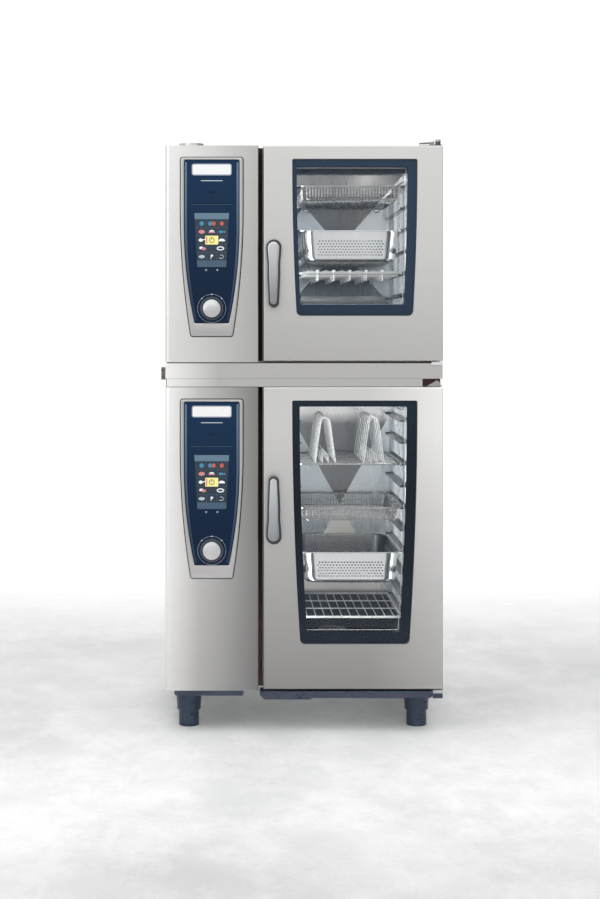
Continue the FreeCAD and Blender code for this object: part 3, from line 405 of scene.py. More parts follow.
def liner_steel(name, cold, warm, rough=0.24, level=1, right=1, ramps=()):
    """Rolled sheet with waves and heat tint. Level faces darken and lose their mirror as painted shade;
    right-hand walls lose their mirror, turn pale and glow as painted light. Each ramp paints light and shade
    along an axis.
    """
    s = Shader(name)
    faces = s.split(s.add("ShaderNodeNewGeometry").outputs["Normal"])
    flat = s.spread(s.calc("ABSOLUTE", faces["Z"], 0), 0, 1, 0.45, 0.85)
    # Painted shade: level faces, the floor and roof, take a darker colour and less mirror.
    level_shade = s.spread(flat, 1, level, 0, 1)
    wall = s.spread(faces["X"], 1, 0, -0.85, -0.45)
    wave = s.noise(5, 3, 0.5)
    streak = s.noise((70, 70, 4), offset=2)
    tint = s.noise(3, 2, 0.5, 4)
    base = s.scaled(s.mix(s.spread(tint), cold, warm), level_shade)
    # Painted light: right-hand walls take the pale streaked colour and glow with it.
    pale = s.mix(s.spread(streak), (0.55, 0.57, 0.60), (0.98, 0.98, 0.98))
    part = s.times(wall, 1 - right)
    s.set(Base_Color=s.ramped(s.mix(part, base, pale), ramps), Emission_Color=pale)
    s.set(Emission_Strength=s.times(part, 0.30))
    mirror = s.times(level_shade, s.calc("SUBTRACT", 1, part))
    s.set(Metallic=mirror, Specular_IOR_Level=s.spread(mirror, 0.02, 0.5, 0.2, 1))
    s.set(Roughness=s.plus(s.spread(wave, -0.03, 0.04), s.spread(streak, rough - 0.03, rough + 0.05)))
    s.height(s.plus(wave, s.times(streak, 0.02)), 0.10, 0.004)
    return s.material


def galvanised():
    s = Shader("galvanised")
    grey = s.cells(60)
    streak = s.noise((30, 30, 8))
    crystal = s.mix(s.spread(grey, 0, 1, 0.2, 0.8), (0.48, 0.50, 0.52), (0.62, 0.63, 0.65))
    s.set(Base_Color=crystal, Metallic=1)
    s.set(Roughness=s.plus(s.spread(grey, 0.34, 0.46, 0.2, 0.8), s.spread(streak, -0.03, 0.06)))
    s.height(grey, 0.08, 0.0008)
    return s.material


def lacquer(name, color, rough, metallic=0.75, flake=1800, ramps=()):
    """Silver lacquer with fine flakes and slight orange peel. Each ramp paints light and shade along an axis.
    """
    s = Shader(name)
    grey = s.cells(flake)
    peel = s.noise(420, 2, 0.5)
    rub = s.noise(26, 5, 0.65, 2)
    base = s.tinted(grey, color, 0.93, 1.06, 0, 1, 0.2, 0.8)
    s.set(Base_Color=s.ramped(base, ramps), Metallic=metallic)
    s.set(Roughness=s.plus(s.spread(rub, -0.04, 0.06), rough), Coat_Weight=0.25, Coat_Roughness=0.2)
    s.height(peel, 0.03, 0.0003)
    return s.material


def gloss_film(name, top_color, bottom_color, z0, z1, rough, repeat=0):
    """Glossy printed film whose colour deepens downwards as painted shade, again for each oven, with dust and
    wipe marks.
    """
    s = Shader(name)
    height = s.axis("Z")
    step = s.times(s.calc("GREATER_THAN", height, LOWER.top * MM), repeat * MM)
    rise = s.spread(s.calc("SUBTRACT", height, step), 0, 1, z0 * MM, z1 * MM)
    wipe = s.noise((16, 16, 44), 5)
    dust = s.noise(900, 2, 0.5)
    s.set(Base_Color=s.mix(rise, bottom_color, top_color), Specular_IOR_Level=0.14)
    s.set(Roughness=s.plus(s.spread(wipe, -0.02, 0.10), rough))
    s.height(dust, 0.03, 0.0002)
    return s.material


def moulded(name, color, rough, grain=650, depth=0.25, gloss=0.5):
    """Moulded plastic or rubber: fine leathery grain, scuffed high spots."""
    s = Shader(name)
    skin = s.noise(grain, 3)
    scuff = s.noise(38, 6, 0.7, 6)
    tone = s.noise(9, 2, 0.5, 1)
    pale = [min(1, c * 1.5 + 0.02) for c in color]
    s.set(Base_Color=s.mix(s.spread(scuff, 0, 0.5, 0.58, 0.78), s.tinted(tone, color, 0.88, 1.12), pale))
    s.set(Roughness=s.plus(s.spread(scuff, -0.05, 0.08), rough), Specular_IOR_Level=gloss)
    s.height(skin, depth, 0.0004)
    return s.material


def wool():
    s = Shader("mineral_wool")
    fibre = s.noise((120, 420, 420), 8, 0.75)
    lump = s.noise(22, offset=2)
    base = s.mix(s.spread(lump), (0.55, 0.47, 0.28), (0.74, 0.68, 0.48))
    s.set(Base_Color=base, Roughness=0.95, Sheen_Weight=0.3)
    s.height(s.plus(fibre, lump), 0.8, 0.004)
    return s.material


def clear_glass(name, tint, dirt):
    """Toughened glass that lets light straight through, with Fresnel glare and faint smears."""
    s = Shader(name)
    s.nodes.remove(s.bsdf)
    smear = s.noise((9, 9, 16), 6, 0.62)
    rough = s.spread(smear, 0.01, 0.05)
    glare = s.add("ShaderNodeBsdfGlossy", {"Color": (0.62, 0.77, 1), "Roughness": rough})
    through = s.add("ShaderNodeBsdfTransparent", {"Color": tint})
    film = s.add("ShaderNodeBsdfDiffuse", {"Color": (0.6, 0.65, 0.7)})
    fresnel = s.add("ShaderNodeFresnel", {"IOR": 1.26})
    pane = s.mix_shader(fresnel.outputs[0], through, glare)
    return s.surface(s.mix_shader(s.spread(smear, 0, dirt, 0.45, 0.8), pane, film))


def lit(name, color, strength, rough=0.3):
    """Lit print behind a glossy cover, with a faint pixel raster; on the pale fascia print the glow is
    painted light.
    """
    s = Shader(name)
    glow = s.tinted(s.noise(1500, 1, 0.5), color, 0.85, 1.1)
    s.set(Base_Color=glow, Roughness=rough, Emission_Color=glow, Emission_Strength=strength)
    return s.material


def tray_sheet(name, color, inside):
    """Polished sheet whose inner side, away from the light, is darker by the factor."""
    s = Shader(name)
    drawn = s.noise((40, 4, 4))
    stain = s.noise(7, 3, offset=2)
    back = s.add("ShaderNodeNewGeometry").outputs["Backfacing"]
    base = s.scaled(s.tinted(stain, color, 0.90, 1), s.spread(back, 1, inside, 0, 1))
    s.set(Base_Color=base, Metallic=1)
    s.set(Roughness=s.plus(s.spread(drawn, -0.03, 0.05), s.spread(stain, 0.20, 0.27)))
    s.height(drawn, 0.05, 0.0004)
    return s.material


def hinge_metal():
    """Hinge steel with light and shade painted in bands by height: a foot bracket lit on top and shaded
    below, pale lit plates and a shaded top arm.
    """
    s = Shader("hinge_steel")
    ramp = s.add("ShaderNodeValToRGB", {"Fac": s.times(s.axis("Z"), 0.5)})
    ramp.color_ramp.interpolation = "CONSTANT"
    stops = ramp.color_ramp.elements
    stops[0].color = (0.05, 0.06, 0.085, 1)
    # Painted light and shade: one band of tone for each lit and each shaded stretch of the brackets.
    bands = ((0.1135, (0.40, 0.41, 0.42)), (0.5, (0.30, 0.29, 0.29)), (1.09, (0.82, 0.82, 0.81)),
             (1.3, (0.10, 0.10, 0.11)))
    for start, color in bands:
        stops.new(start / 2).color = (*color, 1)
    stops.remove(stops[-1])
    grain = s.noise(40)
    s.set(Base_Color=s.scaled(ramp.outputs[0], s.spread(grain, 0.9, 1.05)), Metallic=0.9)
    s.set(Roughness=s.spread(grain, 0.30, 0.42))
    s.height(grain, 0.08, 0.0004)
    return s.material


def wire_metal(name, color, rough, metallic=1):
    s = Shader(name)
    drawn = s.noise(160)
    stain = s.noise(24, offset=2)
    s.set(Base_Color=s.tinted(stain, color, 0.86, 1.06), Metallic=metallic)
    s.set(Roughness=s.plus(s.spread(drawn, -0.04, 0.07), rough))
    s.height(drawn, 0.12, 0.0004)
    return s.material


def heater_metal():
    s = Shader("heater_sheath")
    scale = s.noise(90, 6, 0.7)
    s.set(Base_Color=s.mix(s.spread(scale), (0.10, 0.085, 0.08), (0.24, 0.20, 0.19)), Metallic=0.8)
    s.set(Roughness=s.spread(scale, 0.45, 0.75))
    s.height(scale, 0.3, 0.0006)
    return s.material


def board_material():
    """Circuit board: solder mask with tracks and darker component blocks."""
    s = Shader("circuit_board")
    tracks = s.voronoi(190, "DISTANCE_TO_EDGE").outputs["Distance"]
    line = s.spread(tracks, 1, 0, 0.02, 0.06)
    depth = s.spread(s.axis("Y"), 0, 1, -0.3640, -0.3635)
    mask = s.mix(line, (0.02, 0.14, 0.07), (0.10, 0.30, 0.14))
    s.set(Base_Color=s.mix(depth, mask, (0.05, 0.05, 0.055)), Roughness=0.45)
    s.height(tracks, 0.1, 0.0003)
    return s.material


def concrete():
    """Pale mottled floor that fades out into the white backdrop."""
    s = Shader("pale_floor")
    broad = s.noise((1.6, 1.2, 1), 6, 0.62)
    streaks = s.noise((5, 3, 1), 9, 0.72, 3)
    speck = s.noise((60, 60, 1), 4, 0.7, 7)
    patch = s.mix(s.spread(broad), (0.62, 0.63, 0.625), (0.82, 0.825, 0.82))
    worn = s.mix(s.spread(streaks, 0, 0.6, 0.44, 0.68), patch, (0.92, 0.92, 0.915))
    s.set(Base_Color=s.mix(s.spread(speck, 0, 0.12, 0.5, 0.7), worn, (0.4, 0.4, 0.4)))
    s.set(Roughness=s.spread(broad, 0.5, 0.75))
    s.height(s.plus(streaks, s.times(speck, 0.3)), 0.12, 0.003)
    fade = s.spread(s.axis("Y"), 0, 1, 0.4, 3.3)
    fade = s.add("ShaderNodeMapRange", {"Value": fade}, interpolation_type="SMOOTHSTEP").outputs[0]
    clear = s.add("ShaderNodeBsdfTransparent")
    seen = s.add("ShaderNodeLightPath").outputs["Is Camera Ray"]
    dim = s.add("ShaderNodeBsdfDiffuse", {"Color": (0.74, 0.73, 0.73)})
    return s.surface(s.mix_shader(fade, s.mix_shader(seen, dim, s.bsdf), clear))


# ---------------------------------------------------------------- materials
STEEL = (0.62, 0.617, 0.605)
PANEL = brushed("satin_stainless", STEEL)
# Painted light and shade: the door, column and strip copies of the satin steel get their own base tones, and
# their ramps paint them lighter or darker across their width and height.
UPPER_DOOR = brushed("satin_upper_door", STEEL, ramps=[
    ("Z", 1.15, 1.45, 0.84, 1), ("X", -0.13, 0.42, 0.98, 1.06)])
LOWER_DOOR = brushed("satin_lower_door", (0.70, 0.697, 0.685), ramps=[
    ("Z", 0.14, 0.92, 0.44, 1), ("X", -0.13, 0.20, 1, 1.02), ("X", 0.20, 0.42, 1, 1.37)])
UPPER_COLUMN = brushed("satin_upper_column", (0.82, 0.82, 0.812), ramps=[("X", -0.42, -0.14, 0.98, 0.57)])
LOWER_COLUMN = brushed("satin_lower_column", (0.98, 0.977, 0.965), ramps=[
    ("X", -0.42, -0.32, 1.05, 0.62), ("X", -0.32, -0.14, 1, 0.44), ("Z", 0.14, 0.50, 0.80, 1)])
STRIP = brushed("satin_strip", (0.93, 0.926, 0.908), 0.38, [("X", -0.42, -0.26, 1.06, 0.57)])
HINGE_STEEL = hinge_metal()
# Painted light: the liner's floor and roof are darkened almost to black as painted shade, and its right-hand
# walls glow pale.
LINER = liner_steel("liner_steel", (0.72, 0.745, 0.77), (0.82, 0.805, 0.78), 0.19, 0.04, 0.10)
# Painted reflection: the rear-wall facets are liner steel in tones that stand for the light and dark they
# reflect; the light facet turns nearly black below about 0.33 m as painted shade, and the top facet grows
# brighter near the roof as a painted highlight.
FACET_DARK = liner_steel("liner_facet_dark", (0.17, 0.175, 0.185), (0.27, 0.25, 0.235))
FACET_SIDE = liner_steel("liner_facet_side", (0.62, 0.68, 0.735), (0.76, 0.78, 0.79), 0.28)
FACET_LOW = liner_steel("liner_facet_low", (0.14, 0.155, 0.175), (0.24, 0.26, 0.28))
FACET_LIGHT = liner_steel("liner_facet_light", (0.84, 0.81, 0.76), (0.88, 0.84, 0.78), 0.30, ramps=[
    ("Z", 0.325, 0.345, 0.05, 1)])
FACET_TOP = liner_steel("liner_facet_top", (0.22, 0.225, 0.24), (0.30, 0.29, 0.28), 0.26, ramps=[
    ("Z", 0.905, 0.945, 1, 3.2)])
GALVANISED = galvanised()
BEZEL = lacquer("bezel_silver", (0.49, 0.485, 0.485), 0.34)
PANEL_SPAN = (LOWER.panel_top - 450, LOWER.panel_top - 60)
PANEL_STEP = UPPER.panel_top - LOWER.panel_top
# Painted shade: each fascia's film darkens towards the bottom of its panel.
FILM = gloss_film("fascia_film", (0.0075, 0.029, 0.075), (0.003, 0.014, 0.042), *PANEL_SPAN, 0.16, PANEL_STEP)
# Painted highlight: the fascia's side facets and the pale line under its seam are a lighter blue that fades
# downwards.
EDGE_HIGHLIGHT = gloss_film("fascia_edge", (0.12, 0.19, 0.27), (0.02, 0.045, 0.085), *PANEL_SPAN, 0.2, PANEL_STEP)
# Black for painted shadow in the bezel gaps, under the upper cabinet's roof and in the stacking seams, and
# for the speaker dots, drain holes and the fascia's seam line.
OUTLINE = moulded("shadow_gap_black", (0.006, 0.007, 0.009), 0.5, gloss=0.12)
BADGE = lacquer("badge_white", (0.92, 0.92, 0.93), 0.3, 0, 900)
BADGE_RIM = lacquer("badge_rim", (0.36, 0.42, 0.52), 0.3, 0.5)
# Painted light: the pale print on the fascias glows slightly.
PALE_PRINT = lit("pale_print", (0.55, 0.62, 0.70), 0.12)
SILVER = lacquer("dial_silver", (0.61, 0.615, 0.625), 0.33, 0.9, 3200)
SKIRT = moulded("dial_skirt", (0.07, 0.085, 0.105), 0.35)
# Painted light on the handle inlays: each is lighter towards its top and darker towards its right edge, and
# the lower inlay has a darker base tone.
INLAY_EDGE = ("X", -0.088, -0.076, 1, 0.72)
INLAYS = {
    UPPER: lacquer("upper_handle_inlay", (0.50, 0.51, 0.535), 0.30, 0.9, ramps=[
        ("Z", 1.33, 1.46, 0.60, 1.15), INLAY_EDGE]),
    LOWER: lacquer("lower_handle_inlay", (0.40, 0.425, 0.45), 0.30, 0.9, ramps=[
        ("Z", 0.59, 0.74, 0.80, 1.45), INLAY_EDGE]),
}
HANDLE = moulded("handle_grey", (0.030, 0.033, 0.038), 0.36)
GLASS = clear_glass("door_glass", (0.97, 0.975, 0.975), 0.004)
INNER_GLASS = clear_glass("inner_glass", (0.98, 0.985, 0.98), 0.005)
# Painted shade: the window print darkens downwards, so the lower door's border is darker than the upper
# one's.
PRINT = gloss_film("printed_border", (0.017, 0.036, 0.068), (0.0022, 0.006, 0.012),
                   LOWER.top - 200, UPPER.z + 300, 0.3)
RUBBER = moulded("seal_rubber", (0.018, 0.018, 0.019), 0.6, 900, 0.3)
# Painted shade: dark brown sheet for the door gaps, where there is only shade.
GAP_SHADE = moulded("painted_gap_shade", (0.044, 0.022, 0.020), 0.65, 700, 0.3, 0.3)
PLASTIC = moulded("anthracite_plastic", (0.011, 0.0172, 0.031), 0.29, gloss=0.38)
CLAMP = moulded("clamp_grey", (0.155, 0.142, 0.15), 0.5)
WOOL = wool()
BOARD = board_material()
MOTOR = moulded("motor_casting", (0.22, 0.23, 0.24), 0.5, 260, 0.5)
HEATER = heater_metal()
WIRE = wire_metal("polished_wire", (0.50, 0.49, 0.48), 0.24)
# Painted light: BRIGHT_WIRE is the wire steel made near white and partly diffuse as a painted highlight, and
# RAIL a darker copy as painted shade.
BRIGHT_WIRE = wire_metal("bright_wire", (0.97, 0.97, 0.97), 0.28, 0.35)
RAIL = wire_metal("rack_rail", (0.36, 0.365, 0.37), 0.22)
# Painted highlight: the window trim's near-white tone stands for the highlight along the door's inner frame
# edge.
TRIM = wire_metal("window_trim_metal", (0.86, 0.88, 0.90), 0.25)
PALE_STRIP = wire_metal("pale_strip_metal", (0.66, 0.68, 0.69), 0.35, 0.6)
PLATE = wire_metal("spike_plate", (0.62, 0.62, 0.60), 0.35, 0.5)
HINGE_TRIM = wire_metal("hinge_trim_metal", (0.42, 0.41, 0.41), 0.3)
RECESS_SHADE = moulded("recess_painted_shade", (0.115, 0.060, 0.055), 0.6)
SHEET = tray_sheet("gastronorm_sheet", (0.90, 0.905, 0.91), 0.30)
SCREW = wire_metal("zinc_screw", (0.62, 0.63, 0.64), 0.3)
LAMP = lit("lamp_cover", (1, 0.95, 0.88), 1.2)
LAMP_RING = wire_metal("lamp_ring", (0.60, 0.60, 0.59), 0.3)


# ---------------------------------------------------------------- carried-over CAD nodes
CAD_LOOKS = {
    UPPER_COLUMN: "upper_column_front", LOWER_COLUMN: "lower_column_front", UPPER_DOOR: "upper_door_shell",
    LOWER_DOOR: "lower_door_shell", PANEL: "casing door_inner_frame exhaust_pipe",
    LINER: "cavity fan_wheel fan_baffles", GLASS: "door_outer_glass", INNER_GLASS: "door_inner_glass",
    SCREW: "latch_spindle latch_keepers casing_screws", BOARD: "control_boards",
    GALVANISED: "rear_panels base_pans steam_generators rear_connectors dial_plunger",
    WOOL: "insulation_jackets", MOTOR: "fan_motors", HEATER: "heater_coils", HINGE_STEEL: "hinge_brackets",
    STRIP: "lower_header stack_frame", PLASTIC: "drip_tray base_rails", FILM: "control_fascias displays",
}
BEVELS = {
    0.4: "rear_panels fan_baffles",
    0.5: "door_inner_frame control_fascias casing_screws door_outer_glass door_inner_glass",
    0.6: "column_front latch_keepers latch_spindle", 0.8: "hinge_brackets exhaust_pipe rear_connectors",
    0.9: "lower_header stack_frame", 2: "drip_tray", 2.5: "base_rails",
}


def entry(table, node):
    """The key whose names hold the node, by its own name or by its name without its oven."""
    for name in (node, node.split("_", 1)[-1]):
        for key, names in table.items():
            if name in names.split():
                return key
    return None


def dress_cad_nodes():
    for node, piece in NODES.items():
        material = entry(CAD_LOOKS, node)
        if material is None:
            continue
        if not piece.material_slots:
            piece.data.materials.append(material)
        for item in piece.material_slots:
            item.material = material
        shade(piece, 30)
        if material in (GLASS, INNER_GLASS):
            piece.visible_shadow = piece.visible_diffuse = piece.visible_glossy = False
        width = entry(BEVELS, node)
        if width:
            bevel = piece.modifiers.new("soft_edges", "BEVEL")
            bevel.width = width * MM
            bevel.segments = 2
            bevel.limit_method = "ANGLE"
            bevel.angle_limit = radians(40)
            bevel.use_clamp_overlap = True


# ---------------------------------------------------------------- control panel
BEZEL_H = 545
FASCIA_DROP = 8
FASCIA_H = 496
FASCIA_OUT = 6
DISPLAY_DROP = 168
DISPLAY_H = 167
DIAL_RING = 43
DIAL_R = 23.5


def bezel_outline(oven, grow):
    top = oven.panel_top
    return tapered_outline(oven.panel_x, top - BEZEL_H, top, 95, 63, 0.28, 7, 7, grow)


def fascia_outline(oven, grow):
    top = oven.panel_top - FASCIA_DROP
    return tapered_outline(oven.panel_x, top - FASCIA_H, top, 83.5, 51.5, 0.40, 5, 5, grow)


def make_bezels():
    """Silver frames with a rounded outer shoulder; a thin black ring inside them and one round their outer
    edge are painted shadow.
    """
    bm, gap = meshes(2)
    shoulder = [(0, 0), (0, -3.6), (-0.5, -5.4), (-1.6, -6.8), (-3.2, -7.4)]
    lip = [(3.2, -7.4), (1.9, -7.1), (1.2, -6.2), (1.1, 0)]
    for oven in OVENS:
        y = oven.front
        outside = partial(bezel_outline, oven)
        inside = partial(fascia_outline, oven)
        rings = [at_y(outside(grow), y + depth) for grow, depth in shoulder]
        loft(bm, rings + [at_y(inside(grow), y + depth) for grow, depth in lip], wrap=True)
        moulding(gap, inside, y, [(1.3, -6.4), (-0.5, -6.4), (-0.5, -5.6), (1.3, -5.6)])
        # Painted shadow round the bezel's outer edge.
        moulding(gap, outside, y, [(-0.3, 0.3), (-0.3, -1.6), (2.2, -1.1), (2.6, 0.3)])
    finish("control_bezel_frames", bm, BEZEL, 50, ["control_bezels"])
    finish("control_shadow_gaps", gap, OUTLINE, 50)


def make_fascia_details():
    """Side facets painted with a highlight, dial ring and marks, badge plate and pale printed rules."""
    edge, badge, rim, pale, dark, black = meshes(6)
    corner = 8
    speaker = ((-11, 98, 1.6), (0, 98, 3), (8.5, 98, 3), (-5, 116, 2.2), (2, 116, 2.2))
    stud = [(0, -0.3), (2, -0.3), (2, 0.5), (1.4, 0.8), (0, 0.8)]
    collar = [(29.4, -1), (36.2, -1), (36.6, 0.4), (35.8, 1.7), (34, 2.4), (31, 2.5), (29.6, 1.6)]
    for oven in OVENS:
        face = oven.front - FASCIA_OUT
        x = oven.panel_x
        top = oven.panel_top - FASCIA_DROP
        outer = fascia_outline(oven, -1.6)
        inner = fascia_outline(oven, -7.8)
        half = len(outer) // 2
        for first, last in ((corner, half - corner), (half + corner, 2 * half - corner)):
            a = outer[first:last]
            b = inner[first:last]
            rings = [at_y(a, face + 0.5), at_y(a, face - 0.15), at_y(b, face - 0.75), at_y(b, face + 0.5)]
            rows = loft(edge, rings, close=False, wrap=True)
            edge.faces.new([row[0] for row in rows])
            edge.faces.new([row[-1] for row in rows])
        plate(rim, rounded_rect(x, top - 29, 122, 36, 7), face + 0.5, face - 0.7, 0.5)
        plate(badge, rounded_rect(x, top - 29, 116, 30, 5), face - 0.5, face - 1.3)
        print_plate(pale, rounded_rect(x, top - 63, 66, 2.2, 1, 4), face)
        for dx, drop, r in speaker:
            print_plate(black, ellipse(x + dx, top - drop, r, r, steps=14), face)
        # Black seam line, with a pale line under it as its painted highlight.
        print_plate(black, rounded_rect(x, top - 134, 126, 1.4, 0.6, 3), face, 0.2)
        print_plate(edge, rounded_rect(x, top - 135.5, 126, 0.8, 0.35, 3), face, 0.2)
        ring = ellipse(x, oven.dial_z, DIAL_RING, DIAL_RING, steps=72)
        tube(pale, at_y(ring, face - 0.1), 0.3, 6, closed=True)
        for mark_x, mark_z in (ring[9], ring[18], ring[27]):
            lathe(pale, (mark_x, face, mark_z), (0, -1, 0), stud, 12)
        for dx in (-17, 17):
            z = oven.panel_top - DISPLAY_DROP - DISPLAY_H - 8
            print_plate(pale, rounded_rect(x + dx, z, 5, 5, 1.2, 3), face)
            plate(dark, rounded_rect(x + dx, z, 3.2, 3.2, 0.8, 3), face - 0.2, face - 0.35, 0.1)
        lathe(dark, (x, face, oven.dial_z), (0, -1, 0), collar + collar[:1], 72)
    finish("fascia_edge_facets", edge, EDGE_HIGHLIGHT, 30)
    finish("badge_rims", rim, BADGE_RIM)
    finish("badge_plates", badge, BADGE)
    finish("fascia_pale_print", pale, PALE_PRINT)
    finish("dial_collars", dark, SKIRT, 50)
    finish("speaker_dots", black, OUTLINE)


def screen_colors():
    return {
        "band": lit("screen_band", (0.085, 0.15, 0.205), 0.38),
        "low_band": lit("screen_low_band", (0.038, 0.074, 0.122), 0.38),
        "ground": lit("screen_ground", (0.012, 0.026, 0.044), 0.3, 0.12),
        "line": lit("screen_line", (0.045, 0.085, 0.12), 0.4),
        "blue": lit("symbol_blue", (0.035, 0.17, 0.28), 0.45),
        "red": lit("symbol_red", (0.36, 0.075, 0.05), 0.45),
        "pink": lit("symbol_pink", (0.46, 0.17, 0.18), 0.5),
        "white": lit("symbol_white", (0.62, 0.66, 0.70), 0.55),
        "grey": lit("symbol_grey", (0.32, 0.37, 0.42), 0.5),
        "yellow": lit("symbol_yellow", (0.66, 0.60, 0.22), 0.55),
    }


def make_screens():
    """Lit screen: two pale bands, a grid of cells and simple made-up symbols."""
    colors = screen_colors()
    layers = {key: bmesh.new() for key in colors}
    for oven in OVENS:
        x = oven.panel_x
        top = oven.panel_top - DISPLAY_DROP
        low = top - DISPLAY_H
        face = oven.front - FASCIA_OUT - 0.3

        def half(z):
            return 54 - 9 * (top - z) / DISPLAY_H

        def band(key, z0, z1, out, inset=1):
            ends = [(side * (half(z) - inset), z) for side, z in ((-1, z0), (1, z0), (1, z1), (-1, z1))]
            plate(layers[key], [(x + along, z) for along, z in ends], face + 0.2, face - out, 0.05)

        def sign(key, shape, out=0.35):
            plate(layers[key], shape, face - 0.15, face - out, 0.06)

        band("ground", low + 1, top - 1, 0.10)
        band("band", top - 20, top - 1.5, 0.25)
        band("low_band", low + 1.5, low + 21, 0.25)
        rows = [top - 33.5 - 25.2 * i for i in range(5)]
        for z in rows[:-1]:
            band("line", z - 12.9, z - 12.3, 0.2, 3)
        for z in rows:
            for part in (-0.33, 0.33):
                sign("line", rounded_rect(x + part * half(z) * 1.02, z, 0.6, 24, 0.2, 2), 0.2)
        left, right = x - 30.5, x + 30.5
        z = rows[0]
        sign("blue", ellipse(left, z, 7, 7))
        sign("blue", ellipse(x - 5, z, 6.2, 6.8))
        sign("red", ellipse(x + 6, z, 6.2, 6.8), 0.45)
        sign("red", ellipse(right, z, 6.2, 6.8))
        z = rows[1]
        sign("pink", ellipse(left, z, 9.5, 6))
        sign("pink", ellipse(x, z - 3.5, 9.5, 9, 0, 180, 14))
        sign("white", ellipse(x, z - 1, 8.5, 6.5, 20, 160, 12), 0.45)
        sign("blue", ellipse(right - 2, z, 8, 4.2))
        sign("blue", [(right + 4, z), (right + 11, z + 4), (right + 11, z - 4)], 0.4)
        z = rows[2]
        sign("white", ellipse(left - 3, z, 6, 5))
        sign("white", [(left + 1, z + 1), (left + 10, z + 4), (left + 10, z + 1.5), (left + 2, z - 2)], 0.4)
        sign("yellow", rounded_rect(x, z, 40, 27, 2.5), 0.55)
        tube(layers["ground"], at_y(ellipse(x, z, 7.5, 7.5, steps=28), face - 0.6), 0.9, 6, closed=True)
        sign("ground", rounded_rect(x, z + 3, 1.8, 6.5, 0.6, 3), 0.8)
        sign("pink", rounded_rect(x - 15.5, z, 4, 22, 1.2, 3), 0.7)
        sign("white", ellipse(right, z - 3.5, 10, 8, 0, 180, 14))
        z = rows[3]
        sign("white", ellipse(left - 1, z + 1.5, 6.5, 4))
        sign("pink", ellipse(left + 6, z - 1, 7, 4.5), 0.45)
        sign("white", ellipse(right - 4, z, 11.5, 6.2))
        sign("ground", ellipse(right - 4, z, 8, 3.2), 0.5)
        z = rows[4]
        sign("grey", ellipse(left, z, 9.5, 5))
        flag = [(-3, -6), (-1, -6), (-1, 0), (4, 1), (4, 6), (-3, 6)]
        sign("white", [(x + dx, z + dz) for dx, dz in flag])
        arrow = [(-8, -5), (2, -5), (6, 0), (2, 5), (-5, 5)]
        tube(layers["grey"], at_y([(right + dx, z + dz) for dx, dz in arrow], face - 0.3), 1.1, 6)
    for key, bm in layers.items():
        finish("screen_" + key, bm, colors[key])


def make_dials():
    for oven in OVENS:
        bm, mark = meshes(2)
        low, high = oven.knob
        back = oven.front - 8.8
        deep = back - low.y
        profile = [(0, deep)]
        for i in range(1, 15):
            profile.append((DIAL_R * i / 14, deep - 3.4 * (i / 14) ** 2.2))
        for i in range(1, 7):
            a = pi / 2 * i / 6
            profile.append((DIAL_R + 4.2 * sin(a), deep - 3.4 - 4 * (1 - cos(a))))
        profile += [(27.9, 5), (28, 3), (27.2, 2), (27.2, 1.2), (28, 0.6), (27.6, 0), (4, 0),
                    (4, back - high.y), (0, back - high.y)]
        lathe(bm, (oven.panel_x, back, oven.dial_z), (0, -1, 0), profile, 96)
        line = [(oven.panel_x, low.y + deep, oven.dial_z + r) for deep, r in ((2.8, 17), (4.8, 23.5))]
        tube(mark, line, 0.7)
        body = oven.name + "_dial"
        finish(body + "_cap", bm, SILVER, 35, [body + "_knob"], body)
        finish(body + "_pointer", mark, SKIRT, body=body)


# ---------------------------------------------------------------- doors
def make_window(oven):
    """Printed border, a bright trim along the inner frame's edge whose near-white tone is a painted
    highlight, a rubber bead round the pane and clips of the inner glass.
    """
    low, high = oven.glass
    cx = (low.x + high.x) / 2
    top = (high.x - low.x) / 2
    bottom = oven.glass_half_bottom
    inset = oven.print_side + oven.lean
    outer = tapered_outline(cx, low.z + 0.6, high.z - 0.6, top - 0.6, bottom - 0.6, 0, 5, 15)
    inner = tapered_outline(cx - oven.lean, low.z + 35, high.z - oven.print_top, top - inset,
                            bottom - inset + 2.5, 0, 3, 6)
    border, trim, bead, clips = meshes(4)
    steps = [(outer, -0.5), (outer, -0.1), (inner, -0.1), (inner, -0.5)]
    loft(border, [at_y(loop, high.y + depth) for loop, depth in steps], wrap=True)
    tube(trim, at_y(inner, mm_box(oven.name + "_door_inner_frame")[0].y - 3), 1.3, closed=True)
    pane = partial(tapered_outline, cx, low.z, high.z, top, bottom, 0, 5, 15)
    moulding(bead, pane, low.y, [(0.35, -0.2), (0.35, 2), (-0.5, 2), (-0.5, -0.25)])
    inner_low, inner_high = mm_box(oven.name + "_door_inner_glass")
    x = inner_low.x + 9
    y = inner_high.y
    stud = [(0, 0), (4.2, 0), (4.2, 0.8), (3, 1.6), (0, 1.8)]
    for share in (0.2, 0.8):
        z = inner_low.z + (inner_high.z - inner_low.z) * share
        block(clips, (x, y - 0.5, z - 16), (x + 15, y + 3.5, z + 16), 1.2, 3)
        lathe(clips, (x + 7.5, y + 3.4, z), (0, 1, 0), stud, 20)
    body = oven.name + "_door"
    finish(oven.name + "_window_print", border, PRINT, body=body)
    finish(oven.name + "_window_trim", trim, TRIM, 60, body=body)
    finish(oven.name + "_window_bead", bead, RUBBER, body=body)
    finish(oven.name + "_glass_clips", clips, SCREW, body=body)


LEVER_BIG = 23
LEVER_SMALL = 15.5
LEVER_LENGTH = 168


